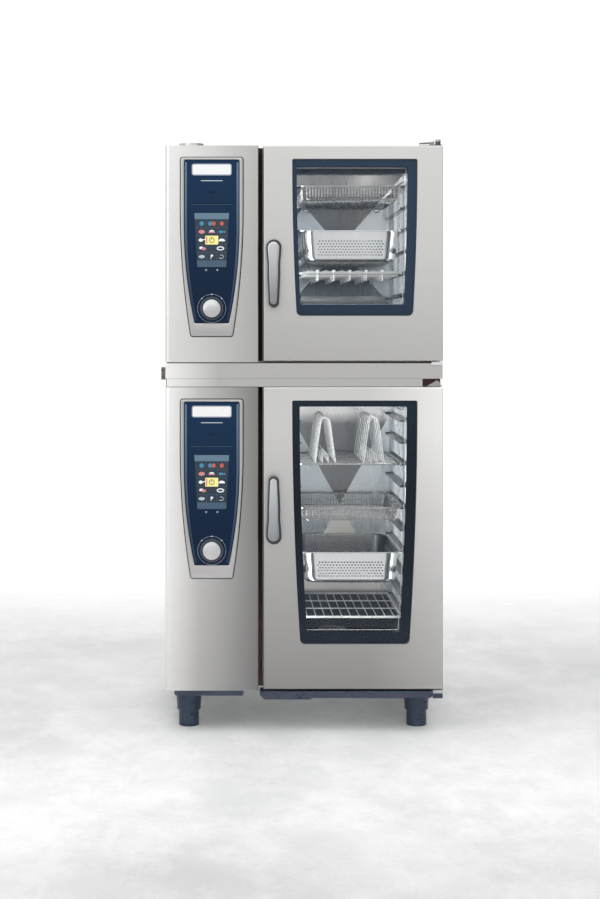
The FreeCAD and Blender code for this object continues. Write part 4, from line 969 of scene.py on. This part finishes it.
def lever_loop(oven, grow, y):
    """Loop round the lever: a large end at the pivot and a small one at the tip."""
    way = oven.handle_way
    x = oven.pivot.x
    z = oven.pivot.z
    lean = asin((LEVER_BIG - LEVER_SMALL) / LEVER_LENGTH)
    points = []
    count = 20
    for i in range(count + 1):
        a = -pi / 2 - lean + (pi + 2 * lean) * i / count
        points.append((x + (LEVER_BIG + grow) * sin(a), z - way * (LEVER_BIG + grow) * cos(a)))
    waist = []
    for i in range(1, 24):
        t = i / 24
        r = LEVER_BIG + (LEVER_SMALL - LEVER_BIG) * t - 1.6 * exp(-((t - 0.30) / 0.13) ** 2)
        waist.append((r + grow, z + way * t * LEVER_LENGTH))
    points += [(x + r, height) for r, height in waist]
    for i in range(count + 1):
        a = pi / 2 - lean - (pi - 2 * lean) * i / count
        tip = LEVER_LENGTH + (LEVER_SMALL + grow) * cos(a)
        points.append((x + (LEVER_SMALL + grow) * sin(a), z + way * tip))
    points += [(x - r, height) for r, height in reversed(waist)]
    return at_y(points, y)


def make_handle(oven):
    """Grey lever with a crowned silver inlay, standing off the door on a flared boss."""
    name = oven.name
    front = mm_box(name + "_handle_lever")[0].y
    body, inlay = meshes(2)
    steps = [(-7.5, 21.6), (-3, 21), (-0.8, 18.6), (0, 14), (0, 7.5), (-0.6, 4.6), (-1.9, 2.6),
             (-4, 1.6), (-5, 1.5)]
    loft(body, [lever_loop(oven, grow, front + depth) for grow, depth in steps], capped=True)
    base = oven.front - front - 0.5
    boss = [(13, 20), (13, 24), (13.6, 30), (15.5, 36), (18.5, base - 2.4), (19.5, base - 1),
            (19.5, base), (0, base)]
    lathe(body, (oven.pivot.x, front, oven.pivot.z), (0, 1, 0), boss, 40)
    finish(name + "_handle_body", body, HANDLE, 40, [name + "_handle_lever"], name + "_handle")
    steps = [(-4.6, 2), (-4.6, 1.6), (-5, 1.1), (-6.2, 0.65), (-8.4, 0.3), (-11, 0.1)]
    x = oven.pivot.x
    z = oven.pivot.z + oven.handle_way * 81
    loops = []
    for grow, depth in steps:
        loop = lever_loop(oven, grow, front + depth)
        # The inlay sits 1.4 mm to the left and 1 mm up, so the dark rim shows wider on the right and below as
        # painted shade.
        smaller = [(x - 1.4 + (point.x - x) * 0.95, z + 1 + (point.z - z) * 0.96) for point in loop]
        loops.append(at_y(smaller, front + depth))
    loft(inlay, loops, capped=True)
    finish(name + "_handle_inlay", inlay, INLAYS[oven], 50, body=name + "_handle")


# ---------------------------------------------------------------- cooking cabinets
RACK_OUT = 176
RACK_ENDS = (-210, 210)


def make_racks():
    """Hanging racks: posts with pegs to the walls, and dished rails with turned-up ends."""
    section = [(153.6, -1.6), (154.6, -2.4), (172, -2.4), (174.4, -0.6), (174.4, 12), (173.4, 12.8),
               (172.4, 12), (172.4, 1.2), (171, 0), (154.6, 0), (153.6, -0.6)]
    stations = ((-262, 5), (-257, 1.2), (-250, 0), (250, 0), (257, 1.2), (262, 5))
    button = [(0, 0), (9, 0), (9, 2), (7, 4), (4, 4.5), (0, 4.5)]
    for oven in OVENS:
        rails, posts = meshes(2)
        low = oven.levels[0] - 37
        high = oven.levels[-1] + 40
        for side in BOTH_SIDES:
            wall = LINER_RIGHT if side > 0 else BAFFLE_X
            x = TRAY_X + side * RACK_OUT
            for y in (*RACK_ENDS, 0):
                tube(posts, [(x, y, low), (x, y, high)], 4, 12)
            for z in (low + 12, high - 12):
                tube(posts, [(x, y, z) for y in RACK_ENDS], 3.2, 10)
                for y in RACK_ENDS:
                    tube(posts, [(x, y, z), (wall - side * 3, y, z)], 4, 12)
                    lathe(posts, (wall - side * 0.3, y, z), (-side, 0, 0), button, 24)
            for z in oven.levels:
                rings = []
                for y, lift in stations:
                    ring = [(TRAY_X + side * a, z + b + (lift if b < 5 else 0)) for a, b in section]
                    rings.append(at_y(ring, TRAY_Y + y))
                loft(rails, rings, capped=True)
        finish(oven.name + "_rack_rails", rails, RAIL, 35, [oven.name + "_racks"])
        finish(oven.name + "_rack_posts", posts, BRIGHT_WIRE, 35)


def make_liner_details():
    """Coved corners, lamps, floor drains and baffle nuts."""
    coves, lamp, ring, nuts, grate = meshes(5)
    back = 279.6
    right = LINER_RIGHT - 0.4
    bezel = [(17, 0.2), (24, 0.2), (24, 3), (22.5, 6), (19, 7), (17, 5.6), (17, 0.2)]
    lens = [(17.2, 0.4), (17.2, 4.4), (12, 6.2), (6, 6.8), (0, 7)]
    rim = [(0, 0.3), (44, 0.3), (46, 1.6), (42, 3.2), (36, 2), (0, 1.4)]
    nut = [(0, -0.5), (8, -0.5), (8, 1.5), (6.5, 4), (3, 5.5), (0, 5.6)]
    hole = [(0, 0), (3.4, 0), (3.4, 0.5), (2.8, 0.6), (0, 0.6)]
    lamps = mm_box("cavity_lamps")
    drain_x, drain_y = TRAY_X - 40, 40
    for oven in OVENS:
        z0, z1 = oven.mouth
        for z, up in ((z0 + 0.4, 1), (z1 - 0.4, -1)):
            section = cove(right, z, 16, up)
            loft(coves, [at_y(section, oven.front + 70), at_y(section, back)], capped=True)
            section = cove(back, z, 16, up)
            loft(coves, [at_x(section, BAFFLE_X + 1), at_x(section, right)], capped=True)
        place = ((lamps[0].x + lamps[1].x) / 2, (lamps[0].y + lamps[1].y) / 2, z1)
        lathe(ring, place, (0, 0, -1), bezel, 40)
        lathe(lamp, place, (0, 0, -1), lens, 40)
        lathe(ring, (drain_x, drain_y, z0), (0, 0, 1), rim)
        for radius in (14, 26):
            for x, y in ellipse(drain_x, drain_y, radius, radius, steps=8):
                lathe(grate, (x, y, z0 + 1.5), (0, 0, 1), hole, 14)
        for y in (-265, 225):
            for z in (z0 + 40, z1 - 40):
                lathe(nuts, (BAFFLE_X, y, z), (1, 0, 0), nut, 6)
    finish("liner_coves", coves, LINER)
    finish("lamp_lenses", lamp, LAMP, replaces=["cavity_lamps"])
    finish("lamp_and_drain_rings", ring, LAMP_RING)
    finish("drain_holes", grate, OUTLINE)
    finish("baffle_nuts", nuts, SCREW, 30)


def make_rear_walls():
    """Cross-broken rear walls: four facets that fall back to the middle, each painted with its own tone of
    reflected light and shade.
    """
    edge_y, deep_y, parts = 266, 277.5, 8
    for oven in OVENS:
        z0, z1 = oven.mouth[0] + 0.6, oven.mouth[1] - 0.6
        x0, x1 = BAFFLE_X + 1.5, LINER_RIGHT - 0.6
        corners = at_y([(x0, z0), (x1, z0), (x1, z1), (x0, z1)], edge_y)
        middle = Vector((TRAY_X, deep_y, (z0 + z1) / 2))
        bm = bmesh.new()
        for index in range(4):
            a = corners[index]
            b = corners[(index + 1) % 4]
            rows = []
            for step in range(parts + 1):
                t = step / parts
                soft = 0.6 * sin(pi * t)
                ends = (a.lerp(middle, t), b.lerp(middle, t))
                rows.append([ends[0].lerp(ends[1], u / parts) - Vector((0, soft * sin(pi * u / parts), 0))
                             for u in range(parts + 1)])
            before = len(bm.faces)
            loft(bm, rows, close=False)
            bm.faces.ensure_lookup_table()
            for face in bm.faces[before:]:
                face.material_index = index
        bmesh.ops.remove_doubles(bm, verts=bm.verts, dist=0.01)
        # Painted reflection: a dark top facet, paler side facets, and a bottom facet that is dark in the
        # upper cabinet and light in the lower one.
        low, top = (FACET_LOW, FACET_DARK) if oven is UPPER else (FACET_LIGHT, FACET_TOP)
        piece = finish(oven.name + "_rear_wall", bm, low, 1)
        for material in (FACET_SIDE, top, FACET_SIDE):
            piece.data.materials.append(material)


# ---------------------------------------------------------------- cooking accessories
def cell_with_hole(bm, place, u0, v0, size_u, size_v, hole):
    """A patch of sheet with an eight-sided hole; the place function turns (u, v) into a point."""
    outer = [(0, 0), (0.5, 0), (1, 0), (1, 0.5), (1, 1), (0.5, 1), (0, 1), (0, 0.5)]
    cu = u0 + size_u / 2
    cv = v0 + size_v / 2
    wide = (place(u0 + size_u, cv) - place(u0, cv)).length
    rings = [[place(u0 + p * size_u, v0 + q * size_v) for p, q in outer], []]
    for p, q in outer:
        way = Vector((p - 0.5, q - 0.5)).normalized() * hole
        rings[1].append(place(cu + way.x * size_u / wide, cv + way.y))
    loft(bm, rings)


def perforate(bm, place, u_half, v_span, columns, rows, hole=2.6):
    """Staggered rows of holes over a patch, with plain half cells at the ends of every other row."""
    du = 2 * u_half / columns
    dv = (v_span[1] - v_span[0]) / rows
    for row in range(rows):
        v0 = v_span[0] + row * dv
        odd = row % 2
        for i in range(columns - odd):
            cell_with_hole(bm, place, -u_half + (i + 0.5 * odd) * du, v0, du, dv, hole)
        for u0 in (-u_half, u_half - du / 2) if odd else ():
            corners = [(u0, v0), (u0 + du / 2, v0), (u0 + du / 2, v0 + dv), (u0, v0 + dv)]
            bm.faces.new([bm.verts.new(place(u, v)) for u, v in corners])


PAN_CORNER = 42
PAN_TOP = Vector((301, 506))
PAN_LOW = Vector((288, 493))
PAN_HOLES = (-79, -27)
PAN_FOOT_R = 17


def pan_size(drop):
    """Width and length of the container's wall at a height below its rim."""
    return PAN_TOP.lerp(PAN_LOW, min(max(-drop / 84, 0), 1))


def pan_ring(z, size, height, radius):
    """Rounded loop with an extra point just past each corner, so that the flats stay flat."""
    points = [Vector(point) for point in rounded_rect(TRAY_X, TRAY_Y, size[0], size[1], radius, 8)]
    ring = []
    for k in range(0, 36, 9):
        arc = points[k:k + 9]
        ring.append(arc[0] + (points[k - 1] - arc[0]).normalized() * 0.8)
        ring += arc
        ring.append(arc[-1] + (points[(k + 9) % 36] - arc[-1]).normalized() * 0.8)
    return at_z(ring, z + height)


def pan_wall(z, side, across):
    """Place function of a wall: u runs along its flat stretch, v is the height over the rim."""
    def place(u, v):
        half = pan_size(v) / 2
        flat = half - Vector((PAN_CORNER, PAN_CORNER))
        x, y = (u * flat.x, side * half.y) if across else (side * half.x, u * flat.y)
        return Vector((TRAY_X + x, TRAY_Y + y, z + v))

    return place


def make_pans():
    """Gastronorm containers: rolled flange, tapered walls, rounded bottom and rows of real holes."""
    bm = bmesh.new()
    low, high = PAN_HOLES
    flange = [((323, 528), -1.6, 17), ((325, 530), -0.4, 18), ((324.4, 529.4), 0.9, 18),
              ((320, 525), 1.2, 18), ((310, 515), 1.1, 30), ((304, 509), 0.2, 40)]
    flange += [(pan_size(height), height, PAN_CORNER) for height in (-4, -5.5, high + 1, high)]
    foot = pan_size(low)
    bowl = [(foot, low, PAN_CORNER), (foot, low - 1, PAN_CORNER)]
    for i in range(1, 8):
        a = pi / 2 * i / 7
        cut = PAN_FOOT_R * (1 - cos(a))
        size = foot - Vector((2 * cut, 2 * cut))
        bowl.append((size, low - 1 - PAN_FOOT_R * sin(a), PAN_CORNER - cut * 0.8))
    for oven in OVENS:
        z = oven.levels[3]
        loft(bm, [pan_ring(z, *shape) for shape in flange])
        loops = [pan_ring(z, *shape) for shape in bowl]
        loft(bm, loops)
        for sx in BOTH_SIDES:
            for sy in BOTH_SIDES:
                rows = []
                for height in (high, (high + low) / 2, low):
                    half = pan_size(height) / 2 - Vector((PAN_CORNER, PAN_CORNER))
                    arc = ellipse(half.x, half.y, PAN_CORNER, PAN_CORNER, 0, 90, 8)
                    rows.append(at_z([(TRAY_X + sx * x, TRAY_Y + sy * y) for x, y in arc], z + height))
                loft(bm, rows, close=False)
            perforate(bm, pan_wall(z, sx, False), 1, PAN_HOLES, 44, 6)
            perforate(bm, pan_wall(z, sx, True), 1, PAN_HOLES, 22, 6)
        outline = loops[-1]
        half_x = max(point.x for point in outline) - TRAY_X - 32
        half_y = max(point.y for point in outline) - TRAY_Y - 32

        def floor_at(u, v):
            return Vector((TRAY_X + u, TRAY_Y + v, outline[0].z))

        inside = []
        for point in outline:
            u, v = point.x - TRAY_X, point.y - TRAY_Y
            inside.append(floor_at(max(-half_x, min(half_x, u)), max(-half_y, min(half_y, v))))
        loft(bm, [outline, inside])
        perforate(bm, floor_at, half_x, (-half_y, half_y), 21, 42)
    bmesh.ops.remove_doubles(bm, verts=bm.verts, dist=0.01)
    centres = [Vector((TRAY_X, TRAY_Y, oven.levels[3] - 35)) for oven in OVENS]
    finish("perforated_containers", bm, SHEET, 45, ["perforated_pans"], centres=centres)


def make_baskets():
    """Fry baskets of round rods and fine wire cloth, with small foot loops."""
    bm = bmesh.new()
    rims = ((319, 524, 2.6, 16, 2.6, 10), (303, 508, 1.5, 26, 1.6, 8),
            (297, 502, -18, 26, 0.9, 6), (292, 497, -36, 24, 1.8, 8))
    foot = ((-13, -36), (-10, -45), (0, -49), (10, -45), (13, -36))
    for oven in OVENS:
        z = oven.levels[5]

        def wire(points, radius, sides=8):
            tube(bm, [(TRAY_X + x, TRAY_Y + y, z + height) for x, y, height in points], radius, sides)

        for width, length, height, corner, radius, sides in rims:
            loop = rounded_rect(TRAY_X, TRAY_Y, width, length, corner, 5)
            tube(bm, at_z(loop, z + height), radius, sides, closed=True)
        for i in range(55):
            y = -238 + 476 * i / 54
            left = [(-151, y, 1.5), (-147, y, -30), (-142, y, -36.5)]
            right = [(-x, y, height) for x, y, height in reversed(left)]
            for path in ([left + right] if i % 5 == 2 else [left, right]):
                wire(path, 0.9, 5)
        for i in range(30):
            x = -136 + 272 * i / 29
            front = [(x, -253, 1.5), (x, -249, -30), (x, -244, -35.2)]
            wire(front + [(x, -y, height) for x, y, height in reversed(front)], 1.05, 6)
        for side in BOTH_SIDES:
            for y in (-200, 200):
                wire([(side * 118 + dx, y, height) for dx, height in foot], 1.8)
            for y in (-120, 0, 120):
                wire([(side * 160, y, 2.6), (side * 151, y, 1.5)], 1.5)
            for x in (-100, 0, 100):
                wire([(x, side * 262, 2.6), (x, side * 254, 1.5)], 1.5)
    finish("wire_fry_baskets", bm, WIRE, 60, ["fry_baskets"])


def rod_frame(bm, z):
    """Rectangular rod of a one-one gastronorm grid."""
    tube(bm, at_z(rounded_rect(TRAY_X, TRAY_Y, 319, 524, 9, 5), z), 3, 12, closed=True)


def cross_rod(bm, y, z, radius, sides=8):
    tube(bm, [(TRAY_X - 159, y, z), (TRAY_X + 159, y, z)], radius, sides)


def long_rod(bm, x, z, radius):
    tube(bm, [(x, TRAY_Y - 259, z), (x, TRAY_Y + 259, z)], radius)


def make_spike_rack():
    """Rows of scalloped strips on rods, each with five tapered prongs."""
    frames, prongs = meshes(2)
    z = UPPER.levels[1] + 3
    rod_frame(frames, z)
    prong = [(0, 0), (1.7, 0.6), (2.4, 3), (3.8, 16), (5.2, 28), (5.6, 33), (4.6, 35.2), (0, 35.8)]
    outline = [(TRAY_X - 150 + 12.5 * i, z + 11.5 - 5 * abs(cos(pi * i / 4))) for i in range(25)]
    outline += [(TRAY_X + 150, z - 8), (TRAY_X - 150, z - 8)]
    for row in range(6):
        y = TRAY_Y - 225 + row * 90
        loft(frames, [at_y(outline, y - 0.9), at_y(outline, y + 0.9)], capped=True)
        cross_rod(frames, y, z, 2, 10)
        for col in range(-2, 3):
            lathe(prongs, (TRAY_X + col * 50, y, z - 23), (0, 0, 1), prong, 16)
    finish("spike_rack_frame", frames, PLATE, replaces=["upper_spike_rack"])
    finish("spike_rack_prongs", prongs, BRIGHT_WIRE, 50)


def make_poultry_rack():
    """Rod grid with two files of tall hoops and a small stirrup inside each."""
    hoops, base = meshes(2)
    z = LOWER.levels[7] + 3
    rod_frame(base, z)
    leg = [(-32, 0), (-24, 60), (-16, 118)]
    hoop = leg + ellipse(0, 128, -14, 14, 0, 180, 8) + [(-dx, dz) for dx, dz in reversed(leg)]
    stirrup = [(-10, 0), (-8, 26), (0, 32), (8, 26), (10, 0)]
    files = [TRAY_X + side * 76 for side in BOTH_SIDES]
    for row in range(7):
        y = TRAY_Y - 210 + row * 70
        cross_rod(base, y, z, 1.5)
        for x in files:
            for shape, radius, sides in ((hoop, 1.9, 10), (stirrup, 1.4, 8)):
                tube(hoops, at_y([(x + dx, z + dz) for dx, dz in shape], y), radius, sides)
    for x in files:
        long_rod(base, x - 32, z, 1.7)
        long_rod(base, x + 32, z, 1.7)
    finish("poultry_rack_base", base, WIRE, 60, ["lower_poultry_rack"])
    finish("poultry_rack_hoops", hoops, BRIGHT_WIRE, 60)


def make_grid():
    grid = bmesh.new()
    z = LOWER.levels[0] + 3
    rod_frame(grid, z)
    for y in (-240, -80, 80, 240):
        cross_rod(grid, TRAY_Y + y, z, 1.7, 10)
    for col in range(-5, 6):
        long_rod(grid, TRAY_X + col * 27, z + 2.2, 1.25)
    finish("wire_grid_rods", grid, BRIGHT_WIRE, 60, ["lower_wire_grid"])


# ---------------------------------------------------------------- base, rear and gaps
def make_feet():
    """Threaded sleeves with two grooves, in collars under the base rails."""
    sockets = bmesh.new()
    collar = [(31.9, 4), (31.9, 0.6), (33, 0), (35.6, 0), (36.6, 1.2), (36.9, 5), (36.2, 6.2),
              (36.4, 8), (37.4, 22), (38.8, 38), (40.6, 52), (41.8, 57), (42, 57.9), (0, 57.9)]
    sleeve = [(0, 0), (27.5, 0), (29.6, 0.5), (30.8, 2.2), (31, 5), (31, 7), (30.3, 7.6),
              (30.3, 9), (31, 9.6), (31, 41), (30.4, 41.6), (30.4, 43), (31, 43.6), (31, 74),
              (29, 76), (0, 76)]
    for foot in ("foot_front_left", "foot_front_right", "foot_rear_left", "foot_rear_right"):
        low, high = mm_box(foot)
        x = (low.x + high.x) / 2
        y = (low.y + high.y) / 2
        lathe(sockets, (x, y, 50), (0, 0, 1), collar, 56)
        bm = bmesh.new()
        lathe(bm, (x, y, 0), (0, 0, 1), sleeve, 56)
        finish(foot.replace("foot", "foot_sleeve"), bm, PLASTIC, 35, [foot], foot)
    finish("foot_collars", sockets, PLASTIC, 35, ["foot_sockets"])


def make_rear_details():
    """Louvre hoods over the rear slots and threads on the water stubs."""
    hoods, threads = meshes(2)
    back = mm_box("rear_panels")[1].y
    section = [(0, 6.2), (1.6, 5), (3.2, 2.2), (3.6, -0.4), (3, -0.4), (2.6, 2), (1.2, 4.2), (0, 5.2)]
    stations = ((-4, 0.05), (3, 0.8), (8, 1), (82, 1), (87, 0.8), (94, 0.05))
    steps = 9 * 16
    for oven in OVENS:
        for column in range(2):
            for row in range(9):
                z = oven.z + 360 + row * 14
                rings = [at_x([(back + a * out, z + b) for a, b in section], -330 + column * 115 + dx)
                         for dx, out in stations]
                loft(hoods, rings, capped=True)
        turn = [(tau * i / 16, back + 8.5 + 19 * i / steps) for i in range(steps)]
        tube(threads, [(-260 + 13 * cos(a), y, oven.z + 90 + 13 * sin(a)) for a, y in turn], 0.55, 5)
    finish("rear_louvres", hoods, GALVANISED)
    finish("water_threads", threads, SCREW, 60)


def make_seals():
    """Hollow lipped rubber seals round the cabinet mouths."""
    bm = bmesh.new()
    half = [(5.8, -0.2), (6, -3), (4.6, -4.6), (2.4, -5.2), (3, -7.6), (1.8, -9.4)]
    steps = half + [(0, -9.85)] + [(-grow, depth) for grow, depth in reversed(half)]
    for oven in OVENS:
        middle = (oven.mouth[0] + oven.mouth[1]) / 2
        tall = oven.mouth[1] - oven.mouth[0] + 46

        def mouth_loop(grow):
            return rounded_rect(TRAY_X, middle, 444 + 2 * grow, tall + 2 * grow, 16 + grow, 8)

        moulding(bm, mouth_loop, oven.front + BODY_DEPTH, steps)
    finish("mouth_seals", bm, RUBBER, 45, ["door_seals"])


def make_gap_shades():
    """Dark sheets painted as shade in the gap beside each door and under the upper door."""
    bm = bmesh.new()
    x0 = UPPER.column[1].x
    x1 = UPPER.door[0].x
    for oven in OVENS:
        body = oven.front + BODY_DEPTH
        block(bm, (x0 + 0.4, body - 5, oven.z + 3), (x1 - 1, body - 0.4, oven.top - 2), 1.2, 3)
        tube(bm, [(x0 + 8, body - 5, oven.z + 8), (x0 + 8, body - 5, oven.top - 8)], 2, 10)
        block(bm, (x0 - 0.6, oven.front + 6, oven.z + 3), (x0 + 0.5, body - 4, oven.top - 3), 0.4)
    step = mm_box("stack_frame")[1].z - 3
    block(bm, (x0 + 1, UPPER.front + 3, step + 0.1), (386, UPPER.front + 50, step + 2.4), 0.8)
    finish("gap_shade_strips", bm, GAP_SHADE)


def make_seam_shadows():
    """Painted shadow: a dark band under the upper cabinet's roof and dark lines in the three seams of the
    stacking frame.
    """
    bm = bmesh.new()
    roof = UPPER.mouth[1]
    block(bm, (-53, UPPER.front + 76, roof - 44), (363, UPPER.front + 84, roof - 21), 2, 3)
    for x in (-40, 150, 340):
        block(bm, (x, UPPER.front + 76.5, roof - 23), (x + 8, UPPER.front + 83.5, roof - 0.5), 0.8)
    low, high = mm_box("lower_header")
    front = min(low.y, UPPER.front)
    seams = ((front, UPPER.z - 3, UPPER.column[1].x - 1, UPPER.z - 0.1),
             (low.y, high.z - 0.6, high.x - 0.5, high.z + 0.5),
             (low.y, LOWER.top - 0.2, high.x - 0.5, LOWER.top + 1.5))
    for y, z0, x1, z1 in seams:
        block(bm, (low.x + 0.5, y - 0.3, z0), (x1, low.y + 1.5, z1), 0.2, 1)
    finish("seam_shadows", bm, OUTLINE)


def make_stack_details():
    """Side clamp with two bolt heads, recess and gusset of the middle hinge, cap and wedge of the top one;
    the recess back is a dark sheet of painted shade.
    """
    clamp, recess, trim, strip_mesh = meshes(4)
    low, high = mm_box("stack_side_clamp")
    block(clamp, low, high, 1.5, 3)
    for z in (low.z + 9, high.z - 9):
        bolt = [(0, 0), (3.2, 0), (3.2, 0.4), (2.4, 0.6), (0, 0.6)]
        lathe(clamp, (low.x + 6, low.y + 0.6, z), (0, -1, 0), bolt, 16)
    finish("side_clamp_block", clamp, CLAMP, replaces=["stack_side_clamp"])
    left = mm_box("lower_header")[1].x + 1
    # Painted shade: dark sheet at the back of the middle hinge's recess.
    block(recess, (left, LOWER.front + 38, LOWER.top + 2), (420, LOWER.front + 41, LOWER.top + 25))
    finish("hinge_recess_back", recess, RECESS_SHADE)
    z = LOWER.top + 2
    gusset = [(374, z), (421, z), (415, z + 13), (405, z + 19), (397, z + 13)]
    plate(trim, gusset, LOWER.front + 17.5, LOWER.front + 15.5)
    x, y = HINGE_PIN
    z = UPPER.top + 9
    cap = [(0, 0), (7, 0), (8.4, 1), (8.4, 6), (6.6, 7.6), (0, 7.8)]
    lathe(trim, (x, y, z + 4), (0, 0, 1), cap, 24)
    wedge = [(355, z), (401, z + 0.5), (401, z + 6.5), (355, z + 1.5)]
    loft(trim, [at_y(wedge, y - 4), at_y(wedge, y + 26)], capped=True)
    finish("hinge_gussets", trim, HINGE_TRIM)
    # Pale strip across the upper cabinet's rear wall.
    block(strip_mesh, (16, 257, UPPER.z + 190), (312, 263, UPPER.z + 214), 1.2, 3)
    finish("rear_pale_strip", strip_mesh, PALE_STRIP)


# ---------------------------------------------------------------- floor, light and camera
def make_stage():
    mesh = bpy.data.meshes.new("studio_floor")
    mesh.from_pydata([(-14, -9, 0), (14, -9, 0), (14, 9, 0), (-14, 9, 0)], [], [(0, 1, 2, 3)])
    mesh.materials.append(concrete())
    floor = bpy.data.objects.new("studio_floor", mesh)
    bpy.context.scene.collection.objects.link(floor)


def make_world():
    """White room, greyer towards the floor and to the right. The camera itself sees plain white."""
    world = bpy.data.worlds.new("studio")
    bpy.context.scene.world = world
    world.use_nodes = True
    g = Graph(world.node_tree)
    way = g.split(g.add("ShaderNodeTexCoord").outputs["Generated"])
    tone = g.add("ShaderNodeValToRGB", {0: g.spread(way["Z"], 0, 1, -0.25, 0.75)})
    stops = tone.color_ramp.elements
    stops[0].color = (0.55, 0.548, 0.545, 1)
    stops[1].color = (1, 1, 1, 1)
    for place, level in ((0.20, 0.84), (0.32, 0.92), (0.6, 0.97)):
        stops.new(place).color = (level, level, level * 0.995, 1)
    room = g.nodes["Background"]
    g.feed(room.inputs["Color"], g.scaled(tone.outputs[0], g.spread(way["X"], 1, 0.40, 0.30, 0.85)))
    white = g.add("ShaderNodeBackground", {"Color": (1, 1, 1), "Strength": 1.05})
    seen = g.add("ShaderNodeLightPath").outputs["Is Camera Ray"]
    g.feed(g.nodes["World Output"].inputs["Surface"], g.mix_shader(seen, room, white).outputs[0])


def area_light(name, place, target, width, height, power, color=(1, 1, 1)):
    data = bpy.data.lights.new(name, "AREA")
    data.shape = "RECTANGLE"
    data.size = width
    data.size_y = height
    data.energy = power
    data.color = color
    lamp = bpy.data.objects.new(name, data)
    lamp.location = place
    lamp.rotation_euler = (Vector(target) - Vector(place)).to_track_quat("-Z", "Y").to_euler()
    bpy.context.scene.collection.objects.link(lamp)
    return lamp


def make_lights():
    """Soft boxes in front and above, a low strip for the base, and a glow inside each cabinet."""
    area_light("key_left", (-2.6, -3, 2.2), (-0.2, 0, 1), 1.4, 2.4, 14)
    area_light("key_right", (2.8, -3, 2.2), (0.3, 0, 1), 1.4, 2.4, 10)
    area_light("front_high", (-0.3, -4.2, 3), (0, -0.4, 1.2), 3, 0.9, 8)
    low_fill = area_light("low_fill", (0, -2.4, 0.30), (0, -0.2, 0.03), 1.8, 0.2, 4)
    low_fill.data.spread = radians(30)
    low_fill.visible_glossy = False
    area_light("top", (0, -1.2, 4.2), (0, 0, 0.8), 3, 2, 20)
    for oven, floor_gap, roof_gap in ((UPPER, 14, 16), (LOWER, 20, 20)):
        low = (oven.mouth[0] + floor_gap) * MM
        high = (oven.mouth[1] - roof_gap) * MM
        mid = (low + high) / 2
        tall = high - low
        glows = (
            ("side", (-0.028, -0.285, mid), (0.26, 0.02, mid), 0.03, tall, 0.85 * tall, (0.95, 0.98, 1)),
            ("right", (0.356, -0.285, mid), (0.05, 0.22, mid), 0.02, tall, 0.30 * tall, (0.95, 0.98, 1)),
            ("lamp", (0.28, -0.19, high + 0.002), (0.22, 0, low), 0.05, 0.05, 0.12, (1, 0.96, 0.90)),
            ("roof", (0.15, -0.295, high), (0.15, 0.05, mid), 0.34, 0.03, 0.14, (0.94, 0.97, 1)),
        )
        for part, *settings in glows:
            area_light(oven.name + "_" + part + "_glow", *settings).visible_camera = False


CAMERA_Y = -5.888


def make_camera():
    """Level camera in front of the upper dial; its frame is shifted only while it stands at its own place."""
    data = bpy.data.cameras.new("camera")
    data.lens = 72.25
    camera = bpy.data.objects.new("camera", data)
    camera.location = (-0.238, CAMERA_Y, 1.226)
    camera.rotation_euler = (radians(90), 0, 0)
    bpy.context.scene.collection.objects.link(camera)
    bpy.context.scene.camera = camera
    for channel, amount in (("shift_x", 0.0823), ("shift_y", -0.13315)):
        driver = data.driver_add(channel).driver
        place = driver.variables.new()
        place.name = "y"
        place.type = "TRANSFORMS"
        place.targets[0].id = camera
        place.targets[0].transform_type = "LOC_Y"
        driver.expression = f"{amount} if abs(y - {CAMERA_Y}) < 0.001 else 0"


def main():
    dress_cad_nodes()
    for make in (make_bezels, make_fascia_details, make_screens, make_dials):
        make()
    for oven in OVENS:
        make_window(oven)
        make_handle(oven)
    for make in (make_racks, make_liner_details, make_rear_walls, make_pans, make_baskets, make_spike_rack,
                 make_poultry_rack, make_grid, make_feet, make_rear_details, make_seals, make_gap_shades,
                 make_seam_shadows, make_stack_details, make_stage, make_world, make_lights, make_camera):
        make()
    bpy.context.scene.view_settings.view_transform = "Standard"


main()
